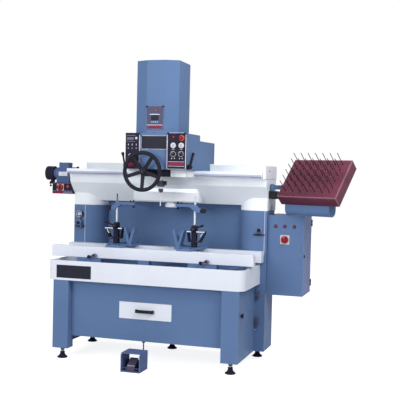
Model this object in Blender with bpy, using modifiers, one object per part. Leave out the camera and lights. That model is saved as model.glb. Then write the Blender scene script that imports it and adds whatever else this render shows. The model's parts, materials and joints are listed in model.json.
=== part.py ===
"""Valve seat and guide machine with a travelling spindle head, as separate jointed pieces.

Machine coordinates: X to the operator's right from the centre plane, Y to the back from the
chip tray's front face, Z up from the floor. An empty then sets the middle of the footprint at
the world's origin. All sizes are in metres.
"""

import math

import bmesh
import bpy
from mathutils import Matrix, Vector

# Clearances
GAP = 0.0003
RUNNING = 0.0006
BUTTON_PLAY = 0.0008
DRAWER_PLAY = 0.0015

# Facets round a full turn
FINE = 32
MEDIUM = 20
COARSE = 12
ROD_SIDES = 8
PIN_SIDES = 6
CORNER_STEPS = 7
SMOOTH_ANGLE = math.radians(35)

# Merge distances
WELD = 0.000001
TURN_WELD = 0.00001

# Middle of the footprint in machine coordinates
FOOTPRINT_X = 0.1840
FOOTPRINT_Y = 0.3105

# Levelling feet
FOOT_HEIGHT = 0.075
FOOT_RADIUS = 0.037
FOOT_EDGE = 0.006
FOOT_NECK = 0.018
FOOT_CONE = 0.026
STEM_RADIUS = 0.009
NUT_RADIUS = 0.016
NUT_HEIGHT = 0.016
FRONT_FOOT_INSET = 0.058
FRONT_FOOT_Y = 0.048
REAR_FOOT_INSET = 0.087
REAR_FOOT_FORWARD = 0.068

# Base cabinet
BASE_HALF = 0.677
BASE_HEIGHT = 0.482
LEG_FRONT = 0.002
LEG_WIDTH = 0.117
LEG_DEPTH = 0.093
SHEET = 0.012
SKIRT_RISE = 0.085
PANEL_FRONT = 0.057
PANEL_SHEET = 0.010
CABLE_GLAND_X = -0.033
CABLE_GLAND_Y = 0.125
CABLE_GLAND_RADIUS = 0.011
CABLE_GLAND_LENGTH = 0.022

# Drawer
DRAWER_WIDTH = 0.388
DRAWER_HEIGHT = 0.118
DRAWER_DROP = 0.127
DRAWER_DEPTH = 0.300
DRAWER_PROUD = 0.004
DRAWER_FRONT = 0.014
DRAWER_WALL = 0.004
DRAWER_RIM_DROP = 0.024
CARCASS_WALL = 0.004
HANDLE_WIDTH = 0.132
HANDLE_REACH = 0.028
HANDLE_HEIGHT = 0.022
HANDLE_THICK = 0.009
HANDLE_EDGE = 0.007

# Chip tray
TRAY_OVERHANG = 0.032
TRAY_HEIGHT = 0.139
TRAY_LEFT_CORNER = 0.016
TRAY_RIGHT_CORNER = 0.060
TRAY_WALL = 0.006
TRAY_FLOOR = 0.008

# Bed rails on their welded frame
RAIL_LEFT_OVER = 0.011
RAIL_RIGHT_INSET = 0.012
REAR_RAIL_SHORT = 0.005
RAIL_FRONT = 0.130
RAIL_DEPTH = 0.060
REAR_RAIL_DEPTH = 0.075
BED_RAISE = 0.015
RAIL_HEIGHT = 0.079
FRAME_HEIGHT = 0.070
FRAME_HALF = 0.600
FRAME_BAR = 0.050
FRAME_POST_X = 0.560
FRAME_POST = 0.040
CROSS_BARS = 4
CROSS_BAR_PITCH = 0.360
CROSS_BAR_DROP = 0.002
SEAT_RISE = 0.036
SEAT_FORWARD = 0.0075
SEAT_BACK_INSET = 0.004
SEATS = ((-0.556, -0.375), (-0.084, -0.009), (0.280, 0.482))
RAIL_CLAMP_X = 0.416
RAIL_CLAMP_RISE = 0.019
RAIL_CLAMP_REACH = 0.042
RAIL_CLAMP_DROP = 0.010
RAIL_CLAMP_HUB = 0.014
RAIL_CLAMP_STANDOFF = 0.034

# Rear body: two towers and a back wall
BODY_HALF = 0.749
BODY_FRONT = 0.460
BODY_DEPTH = 0.248
BODY_HEIGHT = 0.998
BODY_WALL = 0.008
TOWER_FLAT = 0.090
TOWER_CORNER = 0.130
RECESS_DEPTH = 0.140

# Beam
BEAM_OVERHANG = 0.006
BEAM_REACH = 0.082
BEAM_HEIGHT = 0.237
BEAM_KNEE_REACH = 0.068
BEAM_KNEE_RISE = 0.172
BEAM_CAP_RISE = 0.092
BEAM_KEEL_SETBACK = 0.047
BEAM_KEEL_RISE = 0.037
BEAM_WALL = 0.012
SLIDEWAY_REACH = 0.132
SLIDEWAY_DEPTH = 0.112
SLIDEWAY_HEIGHT = 0.036
REAR_WAY_DEPTH = 0.040
REAR_WAY_HEIGHT = 0.086
END_PLATE = 0.020
END_PLATE_PROUD = 0.003
END_PLATE_REACH = 0.115
END_PLATE_INSET = 0.003
END_PLATE_FALL = 0.010

# Work light under the beam
LIGHT_X = 0.006
LIGHT_WIDTH = 0.500
LIGHT_REACH = 0.055
LIGHT_RISE = 0.051
LIGHT_FALL = 0.047
LIGHT_EDGE = 0.008
LENS_X = 0.036
LENS_REACH = 0.008
LENS_RADIUS = 0.044
LENS_TOP_RADIUS = 0.026
LENS_DROP = 0.044

# Spindle head
HEAD_X = 0.036
HEAD_HALF = 0.224
HEAD_REACH = 0.233
HEAD_FRONT_DEPTH = 0.305
HEAD_TAIL = 0.057
HEAD_RAISE = 0.004
HEAD_HEIGHT = 0.250
HEAD_STEP_DROP = 0.040
NOTCH_PLAY = 0.006
HEAD_WALL = 0.004
COLUMN_SHIFT = 0.006
COLUMN_HALF = 0.156
COLUMN_FACE_HALF = 0.067
COLUMN_CHAMFER = 0.038
COLUMN_DEPTH = 0.269
COLUMN_HEIGHT = 0.500
COLUMN_WALL = 0.003

# Head casting, quill and spindle
SPINDLE_SETBACK = 0.120
CASTING_DROP = 0.050
CASTING_HEIGHT = 0.200
CASTING_FORWARD = 0.070
CASTING_REAR = 0.085
CASTING_LEFT = 0.112
CASTING_RIGHT = 0.058
CASTING_PLATE = 0.026
QUILL_RADIUS = 0.048
QUILL_INSET = 0.003
QUILL_LENGTH = 0.167
SPINDLE_RADIUS = 0.020
SPINDLE_NOSE = 0.012
SPINDLE_NOSE_REACH = 0.041
SPINDLE_SHOULDER = 0.010
SPLINE_RADIUS = 0.012
SPLINE_LENGTH = 0.220
MOTOR_RADIUS = 0.072
MOTOR_HEIGHT = 0.215
MOTOR_CAP = 0.056
MOTOR_CAP_HEIGHT = 0.030

# Tool holder, cutter and pilot
HOLDER_RADIUS = 0.029
HOLDER_HEIGHT = 0.048
HOLDER_CHAMFER = 0.006
HOLDER_NECK = 0.015
HOLDER_NECK_HEIGHT = 0.015
CUTTER_RADIUS = 0.018
CUTTER_HEIGHT = 0.026
PILOT_RADIUS = 0.004
PILOT_LENGTH = 0.098
SOCKET_DEPTH = 0.030

# Quill feed: rack, pinion and handwheel
MODULE = 0.0025
PINION_TEETH = 16
PRESSURE_ANGLE = math.radians(20)
BACKLASH = 0.00025
TOOTH_ROOT = 1.25
PINION_WIDTH = 0.036
RACK_WIDTH = 0.030
RACK_SEAT = 0.019
FEED_AXIS_RISE = 0.034
FEED_SHAFT_RADIUS = 0.010
FEED_SHAFT_PAST = 0.047
PINION_ROOM = 0.003
WHEEL_REACH = 0.065
WHEEL_RADIUS = 0.141
WHEEL_RIM = 0.0135
RIM_STEPS = 40
WHEEL_HUB = 0.026
WHEEL_HUB_LENGTH = 0.044
SPOKES = 5
SPOKE_ROOT = 0.028
SPOKE_TIP = 0.024
SPOKE_THICK = 0.014

# Head levers
LEFT_LEVER_IN = 0.017
LEFT_LEVER_UP = 0.022
LEFT_LEVER_RISE = 0.082
RIGHT_LEVER_IN = 0.029
RIGHT_LEVER_UP = 0.020
RIGHT_LEVER_RISE = 0.088
RIGHT_LEVER_LEAN = 0.060
LEVER_HUB = 0.017
LEVER_HUB_LENGTH = 0.030
LEVER_ROD = 0.006
LEVER_BALL = 0.012
LEVER_STANDOFF = 0.018

# Right control panel and its controls
PANEL_OVER = 0.002
PANEL_WIDTH = 0.136
PANEL_UP = 0.003
PANEL_HEIGHT = 0.249
PANEL_DEPTH = 0.018
STOP_IN = 0.033
STOP_DOWN = 0.036
STOP_RADIUS = 0.018
STOP_STEM = 0.009
STOP_HEIGHT = 0.012
STOP_EDGE = 0.005
STOP_STANDOFF = 0.010
STEM_DEPTH = 0.008
BUTTONS_IN = (0.092, 0.034)
BUTTON_DOWN = 0.087
BUTTON_RADIUS = 0.015
BUTTON_PROUD = 0.007
BUTTON_EDGE = 0.002
KNOBS_IN = (0.091, 0.035)
KNOB_DOWN = 0.145
KNOB_RADIUS = 0.013
KNOB_HEIGHT = 0.018
POINTER_WIDTH = 0.006
POINTER_HEIGHT = 0.002
GRIP_EDGE = 0.0015

# Electric cabinet
CABINET_WIDTH = 0.259
CABINET_SETBACK = 0.030
CABINET_DEPTH = 0.318
CABINET_DROP = 0.027
CABINET_HEIGHT = 0.566
CABINET_WALL = 0.004
DOOR_THICK = 0.020
SWITCH_IN = 0.1247
SWITCH_DOWN = 0.170
SWITCH_RADIUS = 0.026
SWITCH_HEIGHT = 0.014
SWITCH_GRIP = 0.012
SWITCH_GRIP_HEIGHT = 0.018
DRIVE_WIDTH = 0.130
DRIVE_DEPTH = 0.190
DRIVE_HEIGHT = 0.340

# Tool board on its swivelling tray
POST_REACH = 0.019
POST_SETBACK = 0.040
POST_RADIUS = 0.0115
CLAMP_BLOCK_DROP = 0.004
CLAMP_BLOCK_HEIGHT = 0.056
CLAMP_BLOCK_REACH = 0.060
CLAMP_BLOCK_DEPTH = 0.070
ARM_RAISE = 0.010
ARM_HEIGHT = 0.033
ARM_WIDTH = 0.028
ARM_PLAY = 0.012
ARM_HUB = 0.0175
COLLAR_RADIUS = 0.0145
POST_CAP_HEIGHT = 0.006
BOARD_RUN = 0.316
BOARD_FORWARD = 0.0224
BOARD_RAISE = 0.0574
BOARD_WIDTH = 0.458
BOARD_DEPTH = 0.352
BOARD_THICK = 0.086
BOARD_YAW = math.radians(-20)
BOARD_TILT = math.radians(48)
PIN_COLUMNS = 7
PIN_ROWS = 6
PIN_PITCH = 0.057
PIN_ROW_PITCH = 0.0524
PIN_RADIUS = 0.0045
PIN_LENGTH = 0.118
TRAY_BOX_X = -0.027
TRAY_BOX_WIDTH = 0.346
TRAY_BOX_FRONT = -0.084
TRAY_BOX_DEPTH = 0.100
TRAY_BOX_DROP = 0.2334
TRAY_BOX_CORNER = 0.046
TRAY_BOX_WALL = 0.004
TRAY_BOX_OVER = 0.032
BRACKET_PLATE = 0.060
BRACKET_BACK = 0.100
BRACKET_RAISE = 0.035
BRACKET_FALL = 0.030

# Tool grinder at the beam's left end
SWITCH_BOX_LENGTH = 0.172
SWITCH_BOX_REACH = 0.025
SWITCH_BOX_DEPTH = 0.090
SWITCH_BOX_DROP = 0.013
SWITCH_BOX_HEIGHT = 0.085
GRINDER_STANDOFF = 0.030
GRINDER_RAISE = 0.070
GRINDER_RADIUS = 0.048
GRINDER_LENGTH = 0.141
GRINDER_FOOT = 0.080
GRINDER_FOOT_INSET = 0.004
GRINDER_BELL = 0.034
GRINDER_BELL_LENGTH = 0.034
TERMINAL_LENGTH = 0.078
TERMINAL_NECK = 0.058
TERMINAL_LIP = 0.020
TERMINAL_DEPTH = 0.070
TERMINAL_RISE = 0.082
GUARD_RADIUS = 0.053
GUARD_LENGTH = 0.062
GUARD_WALL = 0.003
WHEEL_STONE_RADIUS = 0.045
WHEEL_STONE_LENGTH = 0.032
WHEEL_BOSS = 0.012
WHEEL_NECK = 0.009
WHEEL_NUT = 0.006
WHEEL_SHAFT = 0.007
ISOLATOR_OUT = 0.105
ISOLATOR_UP = 0.048
ISOLATOR_RADIUS = 0.025
ISOLATOR_HEIGHT = 0.012
ISOLATOR_GRIP = 0.009
ISOLATOR_GRIP_HEIGHT = 0.014

# Work fixtures on the bed rails
FIXTURE_X = -0.036
FIXTURE_HALF = 0.298
FIXTURE_Y = 0.310
SOLE_OUT = 0.060
SOLE_IN = 0.136
SOLE_THICK = 0.016
SOLE_INSET = 0.010
CRADLE_DEPTH = 0.070
CRADLE_MIDDLE = 0.112
CRADLE_HALF = 0.043
CRADLE_FOOT = 0.012
CRADLE_LEG = 0.013
CRADLE_NOTCH = 0.030
CRADLE_HEIGHT = 0.136
PILLAR_WIDTH = 0.034
PILLAR_DEPTH = 0.044
PILLAR_HEIGHT = 0.168
YOKE_HEIGHT = 0.132
YOKE_FALL = 0.079
YOKE_SHOULDER = 0.016
YOKE_OUT = 0.082
YOKE_IN = 0.050
YOKE_FOOT_OUT = 0.050
YOKE_FOOT_IN = 0.042
YOKE_BAR = 0.010
YOKE_DEPTH = 0.040
FIXTURE_POST_RADIUS = 0.008
FIXTURE_POST_HEIGHT = 0.380
STRAP_WIDTH = 0.036
STRAP_THICK = 0.020
STRAP_OUT_THICK = 0.030
STRAP_OUT = 0.040
STRAP_OUT_DROP = 0.033
STRAP_BEND = 0.034
STRAP_REACH = 0.142
STRAP_HEIGHT = 0.309
STRAP_KNOB = 0.019
STRAP_KNOB_OUT = 0.060
STRAP_STUD = 0.008
STRAP_KNOB_HEIGHT = 0.026
JAW_RADIUS = 0.009
JAW_LENGTH = 0.036
JAW_INSET = 0.0135
BOLT_RADIUS = 0.006
BOLT_INSET = 0.038
BOLT_RISE = 0.016
FIXTURE_LEVER_HEIGHT = 0.147
FIXTURE_LEVER_RUN = 0.070
FIXTURE_LEVER_RISE = 0.027
FIXTURE_BALL = 0.009

# Foot switch
PEDAL_X = -0.005
PEDAL_WIDTH = 0.138
PEDAL_FRONT = -0.187
PEDAL_DEPTH = 0.146
PEDAL_HEIGHT = 0.128
PEDAL_BEVEL = 0.015
PEDAL_WALL = 0.006
PEDAL_SILL = 0.056
TREADLE_WIDTH = 0.058
TREADLE_SHIFT = 0.005
TREADLE_LENGTH = 0.070
TREADLE_FRONT = 0.024
TREADLE_BACK = 0.030
TREADLE_RISE = 0.050
TREADLE_TOE = 0.012
TREADLE_PIVOT_Z = 0.020
TREADLE_PIVOT_IN = 0.034
TREADLE_PIN = 0.006
PEDAL_GLAND_Z = 0.030
PEDAL_GLAND_LENGTH = 0.022
PEDAL_GLAND_RADIUS = 0.008
PEDAL_GLAND_TIP = 0.006
CABLE_RADIUS = 0.004
CABLE_STEP = 0.018
CABLE_SIDES = 2
CABLE_ROUTE = (
    (-0.018, -0.0187, 0.0300),
    (-0.018, 0.0060, 0.0300),
    (-0.020, 0.0370, 0.0260),
    (-0.024, 0.0750, 0.0320),
    (-0.029, 0.1080, 0.0570),
    (-0.032, 0.1230, 0.0930),
    (-0.033, 0.1250, 0.1377),
)

# Air service unit and valve on the towers
AIR_INSET = 0.053
AIR_BLOCK_WIDTH = 0.034
AIR_DROP = 0.115
AIR_BLOCK_HEIGHT = 0.058
AIR_DEPTH = 0.030
GAUGE_DOWN = 0.069
GAUGE_RADIUS = 0.024
AIR_PIPE_RADIUS = 0.007
MANIFOLD_WIDTH = 0.066
MANIFOLD_UP = 0.004
MANIFOLD_HEIGHT = 0.016
MANIFOLD_DEPTH = 0.018
REGULATOR_UP = 0.038
REGULATOR_RADIUS = 0.014
REGULATOR_HEIGHT = 0.018
VALVE_INSET = 0.053
VALVE_DOWN = 0.136
VALVE_RADIUS = 0.015
VALVE_HEIGHT = 0.020

# Finishes: colour, roughness, metallic
FINISHES = {
    "blue_paint": ((0.122, 0.212, 0.429), 0.38, 0.0),
    "white_paint": ((0.78, 0.80, 0.84), 0.36, 0.0),
    "black_plastic": ((0.018, 0.018, 0.022), 0.45, 0.0),
    "bright_steel": ((0.60, 0.61, 0.63), 0.25, 1.0),
    "dark_steel": ((0.055, 0.055, 0.065), 0.40, 0.8),
    "red_plastic": ((0.55, 0.02, 0.02), 0.35, 0.0),
    "white_plastic": ((0.80, 0.80, 0.78), 0.40, 0.0),
    "grey_housing": ((0.20, 0.22, 0.25), 0.50, 0.3),
    "varnished_wood": ((0.16, 0.045, 0.052), 0.40, 0.0),
    "abrasive": ((0.33, 0.42, 0.36), 0.90, 0.0),
    "cable_rubber": ((0.015, 0.015, 0.015), 0.60, 0.0),
}

# Values that follow from the sizes above: base and bed
BASE_TOP = FOOT_HEIGHT + BASE_HEIGHT
FLOOR_UNDER = FOOT_HEIGHT + SKIRT_RISE
FRONT_FOOT_X = BASE_HALF - FRONT_FOOT_INSET
LEG_BACK = LEG_FRONT + LEG_DEPTH
LEG_INNER = BASE_HALF - LEG_WIDTH
DRAWER_TOP = BASE_TOP - DRAWER_DROP
DRAWER_BOTTOM = DRAWER_TOP - DRAWER_HEIGHT
TRAY_HALF = BASE_HALF + TRAY_OVERHANG
TRAY_TOP = BASE_TOP + TRAY_HEIGHT
TRAY_FLOOR_TOP = BASE_TOP + GAP + TRAY_FLOOR
RAIL_LEFT = -BODY_HALF - RAIL_LEFT_OVER
RAIL_RIGHT = BODY_HALF - RAIL_RIGHT_INSET
REAR_RAIL_BACK = BODY_FRONT - GAP
REAR_RAIL_FRONT = BODY_FRONT - REAR_RAIL_DEPTH
BED_BOTTOM = TRAY_TOP + BED_RAISE
BED_TOP = BED_BOTTOM + RAIL_HEIGHT
FRAME_TOP = BED_BOTTOM - GAP
FRONT_BAR_TOP = FRAME_TOP - SEAT_RISE
RAIL_CLAMP_Z = BED_BOTTOM + RAIL_CLAMP_RISE

# Rear body and beam
BODY_BACK = BODY_FRONT + BODY_DEPTH
BODY_TOP = FOOT_HEIGHT + BODY_HEIGHT
RECESS_BACK = BODY_FRONT + RECESS_DEPTH
REAR_FOOT_X = BODY_HALF - REAR_FOOT_INSET
REAR_FOOT_Y = BODY_BACK - REAR_FOOT_FORWARD
BEAM_HALF = BODY_HALF + BEAM_OVERHANG
BEAM_FRONT = BODY_FRONT - BEAM_REACH
BEAM_KNEE_Y = BODY_FRONT - BEAM_KNEE_REACH
BEAM_KEEL_Y = BODY_FRONT + BEAM_KEEL_SETBACK
BEAM_KEEL_Z = BODY_TOP + BEAM_KEEL_RISE
BEAM_CAP_Z = BODY_TOP + BEAM_CAP_RISE
BEAM_KNEE_Z = BODY_TOP + BEAM_KNEE_RISE
BEAM_TOP = BODY_TOP + BEAM_HEIGHT
SLIDEWAY_FRONT = BODY_FRONT - SLIDEWAY_REACH
SLIDEWAY_TOP = BEAM_TOP + SLIDEWAY_HEIGHT
REAR_WAY_FRONT = BODY_BACK - REAR_WAY_DEPTH
REAR_WAY_TOP = BEAM_TOP + REAR_WAY_HEIGHT
LIGHT_FRONT = BODY_FRONT - LIGHT_REACH
LIGHT_TOP = BEAM_CAP_Z + LIGHT_RISE
LIGHT_BOTTOM = BEAM_CAP_Z - LIGHT_FALL
LENS_Y = BODY_FRONT - LENS_REACH

# Spindle head
HEAD_FRONT = SLIDEWAY_FRONT - HEAD_REACH
HEAD_STEP = HEAD_FRONT + HEAD_FRONT_DEPTH
HEAD_BACK = BODY_BACK + HEAD_TAIL
HEAD_BOTTOM = SLIDEWAY_TOP + HEAD_RAISE
HEAD_TOP = HEAD_BOTTOM + HEAD_HEIGHT
HEAD_REAR_TOP = HEAD_TOP - HEAD_STEP_DROP
HEAD_NOTCH_Y = REAR_WAY_FRONT - NOTCH_PLAY
HEAD_NOTCH_Z = REAR_WAY_TOP + NOTCH_PLAY
COLUMN_X = HEAD_X - COLUMN_SHIFT
COLUMN_BACK = HEAD_FRONT + COLUMN_DEPTH
COLUMN_TOP = HEAD_TOP + COLUMN_HEIGHT
SPINDLE_Y = HEAD_FRONT + SPINDLE_SETBACK
CASTING_BOTTOM = HEAD_BOTTOM - CASTING_DROP
CASTING_TOP = CASTING_BOTTOM + CASTING_HEIGHT
CASTING_FRONT = SPINDLE_Y - CASTING_FORWARD
CASTING_BACK = SPINDLE_Y + CASTING_REAR
QUILL_BOTTOM = CASTING_BOTTOM + QUILL_INSET
QUILL_TOP = QUILL_BOTTOM + QUILL_LENGTH
SPINDLE_NOSE_BOTTOM = QUILL_BOTTOM - SPINDLE_NOSE_REACH
SPLINE_TOP = QUILL_TOP + SPLINE_LENGTH
PINION_RADIUS = MODULE * PINION_TEETH / 2
FEED_AXIS_X = HEAD_X - QUILL_RADIUS - PINION_RADIUS - MODULE
FEED_AXIS_Z = CASTING_BOTTOM + FEED_AXIS_RISE
FEED_SHAFT_BACK = SPINDLE_Y + FEED_SHAFT_PAST
WHEEL_Y = HEAD_FRONT - WHEEL_REACH
LEFT_LEVER_Y = HEAD_FRONT + LEFT_LEVER_IN
LEFT_LEVER_Z = HEAD_BOTTOM + LEFT_LEVER_UP
RIGHT_LEVER_Y = HEAD_FRONT + RIGHT_LEVER_IN
RIGHT_LEVER_Z = HEAD_BOTTOM + RIGHT_LEVER_UP
PANEL_RIGHT = HEAD_X + HEAD_HALF + PANEL_OVER
PANEL_LEFT = PANEL_RIGHT - PANEL_WIDTH
PANEL_BOTTOM = HEAD_BOTTOM + PANEL_UP
PANEL_TOP = PANEL_BOTTOM + PANEL_HEIGHT
PANEL_FACE = HEAD_FRONT - GAP - PANEL_DEPTH
STOP_X = PANEL_RIGHT - STOP_IN
STOP_Z = PANEL_TOP - STOP_DOWN
BUTTON_X = [PANEL_RIGHT - inset for inset in BUTTONS_IN]
BUTTON_Z = PANEL_TOP - BUTTON_DOWN
KNOB_X = [PANEL_RIGHT - inset for inset in KNOBS_IN]
KNOB_Z = PANEL_TOP - KNOB_DOWN

# Electric cabinet, tool board and grinder
CABINET_LEFT = BODY_HALF + GAP
CABINET_RIGHT = CABINET_LEFT + CABINET_WIDTH
CABINET_FRONT = BODY_FRONT + CABINET_SETBACK
CABINET_BACK = CABINET_FRONT + CABINET_DEPTH
CABINET_TOP = BODY_TOP - CABINET_DROP
CABINET_BOTTOM = CABINET_TOP - CABINET_HEIGHT
SWITCH_X = CABINET_LEFT + SWITCH_IN
SWITCH_Z = CABINET_TOP - SWITCH_DOWN
POST_X = BEAM_HALF + POST_REACH
POST_Y = BODY_FRONT + POST_SETBACK
CLAMP_BLOCK_BOTTOM = BEAM_CAP_Z - CLAMP_BLOCK_DROP
CLAMP_BLOCK_TOP = CLAMP_BLOCK_BOTTOM + CLAMP_BLOCK_HEIGHT
ARM_BOTTOM = CLAMP_BLOCK_TOP + ARM_RAISE
ARM_TOP = ARM_BOTTOM + ARM_HEIGHT
BOARD_X = POST_X + BOARD_RUN
BOARD_Y = POST_Y - BOARD_FORWARD
BOARD_Z = ARM_BOTTOM + BOARD_RAISE
TRAY_BOX_BOTTOM = BOARD_Z - TRAY_BOX_DROP
BRACKET_PLATE_TOP = ARM_BOTTOM + BRACKET_RAISE
BRACKET_BOTTOM = ARM_BOTTOM - BRACKET_FALL
SWITCH_BOX_FRONT = BODY_FRONT - SWITCH_BOX_REACH
SWITCH_BOX_BOTTOM = BEAM_CAP_Z - SWITCH_BOX_DROP
SWITCH_BOX_TOP = SWITCH_BOX_BOTTOM + SWITCH_BOX_HEIGHT
GRINDER_Y = SWITCH_BOX_FRONT + SWITCH_BOX_DEPTH / 2
GRINDER_Z = SWITCH_BOX_TOP + GRINDER_RAISE
GRINDER_RIGHT = -BEAM_HALF - GRINDER_STANDOFF
GRINDER_LEFT = GRINDER_RIGHT - GRINDER_LENGTH
TERMINAL_TOP = GRINDER_Z + TERMINAL_RISE
ISOLATOR_X = -BEAM_HALF - ISOLATOR_OUT
ISOLATOR_Z = SWITCH_BOX_BOTTOM + ISOLATOR_UP

# Fixtures, foot switch and air unit
SOLE_BOTTOM = BED_TOP + GAP
SOLE_TOP = SOLE_BOTTOM + SOLE_THICK
SOLE_FRONT = RAIL_FRONT + SOLE_INSET
SOLE_BACK = BODY_FRONT - SOLE_INSET
CRADLE_TOP = BED_TOP + CRADLE_HEIGHT
PILLAR_TOP = BED_TOP + PILLAR_HEIGHT
YOKE_TOP = BED_TOP + YOKE_HEIGHT
YOKE_BOTTOM = YOKE_TOP - YOKE_FALL
FIXTURE_POST_TOP = BED_TOP + FIXTURE_POST_HEIGHT
STRAP_Z = BED_TOP + STRAP_HEIGHT
STRAP_OUT_Z = STRAP_Z - STRAP_OUT_DROP
FIXTURE_LEVER_Z = BED_TOP + FIXTURE_LEVER_HEIGHT
PEDAL_BACK = PEDAL_FRONT + PEDAL_DEPTH
AIR_X = AIR_INSET - BODY_HALF
AIR_BLOCK_TOP = BODY_TOP - AIR_DROP
AIR_BLOCK_BOTTOM = AIR_BLOCK_TOP - AIR_BLOCK_HEIGHT
GAUGE_Z = BODY_TOP - GAUGE_DOWN
REGULATOR_Z = AIR_BLOCK_BOTTOM + REGULATOR_UP
VALVE_X = BODY_HALF - VALVE_INSET
VALVE_Z = BODY_TOP - VALVE_DOWN

# Ways to lay a flat outline: its two axes and the axis that it is extruded along
PLANES = {
    "XY": Matrix.Identity(4),
    "YZ": Matrix(((0, 0, 1, 0), (1, 0, 0, 0), (0, 1, 0, 0), (0, 0, 0, 1))),
    "XZ": Matrix(((1, 0, 0, 0), (0, 0, -1, 0), (0, 1, 0, 0), (0, 0, 0, 1))),
}


def clear_scene():
    for obj in list(bpy.data.objects):
        bpy.data.objects.remove(obj, do_unlink=True)


def new_collection(name):
    collection = bpy.data.collections.new(name)
    bpy.context.scene.collection.children.link(collection)
    return collection


def finish_material(name):
    """Return the named finish, made on first use."""
    material = bpy.data.materials.get(name)
    if material is None:
        colour, roughness, metallic = FINISHES[name]
        material = bpy.data.materials.new(name)
        material.use_nodes = True
        shader = material.node_tree.nodes["Principled BSDF"]
        shader.inputs["Base Color"].default_value = (*colour, 1.0)
        shader.inputs["Roughness"].default_value = roughness
        shader.inputs["Metallic"].default_value = metallic
    return material


# Meshes in machine coordinates


def mesh_of(bm):
    """Weld a bmesh, point its faces out and return it as a mesh."""
    bmesh.ops.remove_doubles(bm, verts=bm.verts, dist=WELD)
    bmesh.ops.recalc_face_normals(bm, faces=bm.faces)
    mesh = bpy.data.meshes.new("shape")
    bm.to_mesh(mesh)
    bm.free()
    return mesh


def evaluated_mesh(obj):
    """Return an object's evaluated mesh, welded, and remove the object."""
    bpy.context.scene.collection.objects.link(obj)
    depsgraph = bpy.context.evaluated_depsgraph_get()
    raw = bpy.data.meshes.new_from_object(obj.evaluated_get(depsgraph))
    bm = bmesh.new()
    bm.from_mesh(raw)
    bpy.data.objects.remove(obj, do_unlink=True)
    return mesh_of(bm)


def box(low, high):
    low = Vector(low)
    high = Vector(high)
    bm = bmesh.new()
    place = Matrix.Translation((low + high) / 2) @ Matrix.Diagonal((high - low).to_4d())
    bmesh.ops.create_cube(bm, size=1.0, matrix=place)
    return mesh_of(bm)


def cylinder(start, end, radius, sides=MEDIUM, end_radius=None):
    start = Vector(start)
    axis = Vector(end) - start
    turn = axis.to_track_quat("Z", "Y").to_matrix().to_4x4()
    bm = bmesh.new()
    bmesh.ops.create_cone(
        bm,
        cap_ends=True,
        segments=sides,
        radius1=radius,
        radius2=radius if end_radius is None else end_radius,
        depth=axis.length,
        matrix=Matrix.Translation(start + axis / 2) @ turn,
    )
    return mesh_of(bm)


def ball(centre, radius, sides=COARSE):
    bm = bmesh.new()
    bmesh.ops.create_uvsphere(
        bm,
        u_segments=sides,
        v_segments=sides // 2,
        radius=radius,
        matrix=Matrix.Translation(centre),
    )
    return mesh_of(bm)


def extruded(outline, low, high, plane):
    """Extrude a closed outline from low to high, square to its plane."""
    curve = bpy.data.curves.new("outline", "CURVE")
    curve.dimensions = "2D"
    curve.fill_mode = "BOTH"
    curve.extrude = (high - low) / 2
    spline = curve.splines.new("POLY")
    spline.points.add(len(outline) - 1)
    for point, (across, up) in zip(spline.points, outline):
        point.co = (across, up, 0.0, 1.0)
    spline.use_cyclic_u = True
    mesh = evaluated_mesh(bpy.data.objects.new("outline", curve))
    side = -1 if plane == "XZ" else 1
    mesh.transform(PLANES[plane] @ Matrix.Translation((0, 0, side * (low + high) / 2)))
    return mesh


def turned(profile, base, steps=MEDIUM, axis="Z"):
    """Turn a profile of (radius, height) points, top to bottom, about an axis through base."""
    mesh = bpy.data.meshes.new("profile")
    points = [(radius, 0.0, height) for radius, height in profile]
    edges = [(i, i + 1) for i in range(len(points) - 1)]
    if profile[0][0] > 0:
        edges.append((len(points) - 1, 0))
    mesh.from_pydata(points, edges, [])
    obj = bpy.data.objects.new("profile", mesh)
    screw = obj.modifiers.new("Turn", "SCREW")
    screw.steps = steps
    screw.render_steps = steps
    screw.use_merge_vertices = True
    screw.merge_threshold = TURN_WELD
    solid = evaluated_mesh(obj)
    turns = {
        "Z": Matrix.Identity(4),
        "X": Matrix.Rotation(math.pi / 2, 4, "Y"),
        "-Y": Matrix.Rotation(math.pi / 2, 4, "X"),
    }
    solid.transform(Matrix.Translation(base) @ turns[axis])
    return solid


def tube(points, radius, resolution=2):
    """Sweep a round section along points, with closed ends."""
    curve = bpy.data.curves.new("tube", "CURVE")
    curve.dimensions = "3D"
    curve.bevel_depth = radius
    curve.bevel_resolution = resolution
    curve.use_fill_caps = True
    spline = curve.splines.new("POLY")
    spline.points.add(len(points) - 1)
    for point, place in zip(spline.points, points):
        point.co = (*place, 1.0)
    return evaluated_mesh(bpy.data.objects.new("tube", curve))


def arc(centre, radius, start, end, steps):
    """Return points on a circle between two angles in degrees, ends included."""
    points = []
    for i in range(steps + 1):
        angle = math.radians(start + (end - start) * i / steps)
        points.append(
            (centre[0] + radius * math.cos(angle), centre[1] + radius * math.sin(angle))
        )
    return points


# Parts and their cuts


def add_part(name, mesh, finish, pivot=(0, 0, 0), smooth=False):
    """Make a mesh a named part whose origin is at pivot, in machine coordinates."""
    mesh.name = name
    mesh.transform(Matrix.Translation(-Vector(pivot)))
    mesh.materials.append(finish_material(finish))
    if smooth:
        mesh.shade_smooth()
        mesh.set_sharp_from_angle(angle=SMOOTH_ANGLE)
    obj = bpy.data.objects.new(name, mesh)
    obj.location = pivot
    obj.parent = machine
    parts.objects.link(obj)
    return obj


def combine(obj, mesh, operation):
    tool = bpy.data.objects.new(obj.name + "_" + operation.lower(), mesh)
    tool.parent = machine
    tool.hide_render = True
    tool.display_type = "WIRE"
    cutters.objects.link(tool)
    boolean = obj.modifiers.new(operation.title(), "BOOLEAN")
    boolean.operation = operation
    boolean.object = tool


def cut(obj, *meshes):
    for mesh in meshes:
        combine(obj, mesh, "DIFFERENCE")


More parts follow.
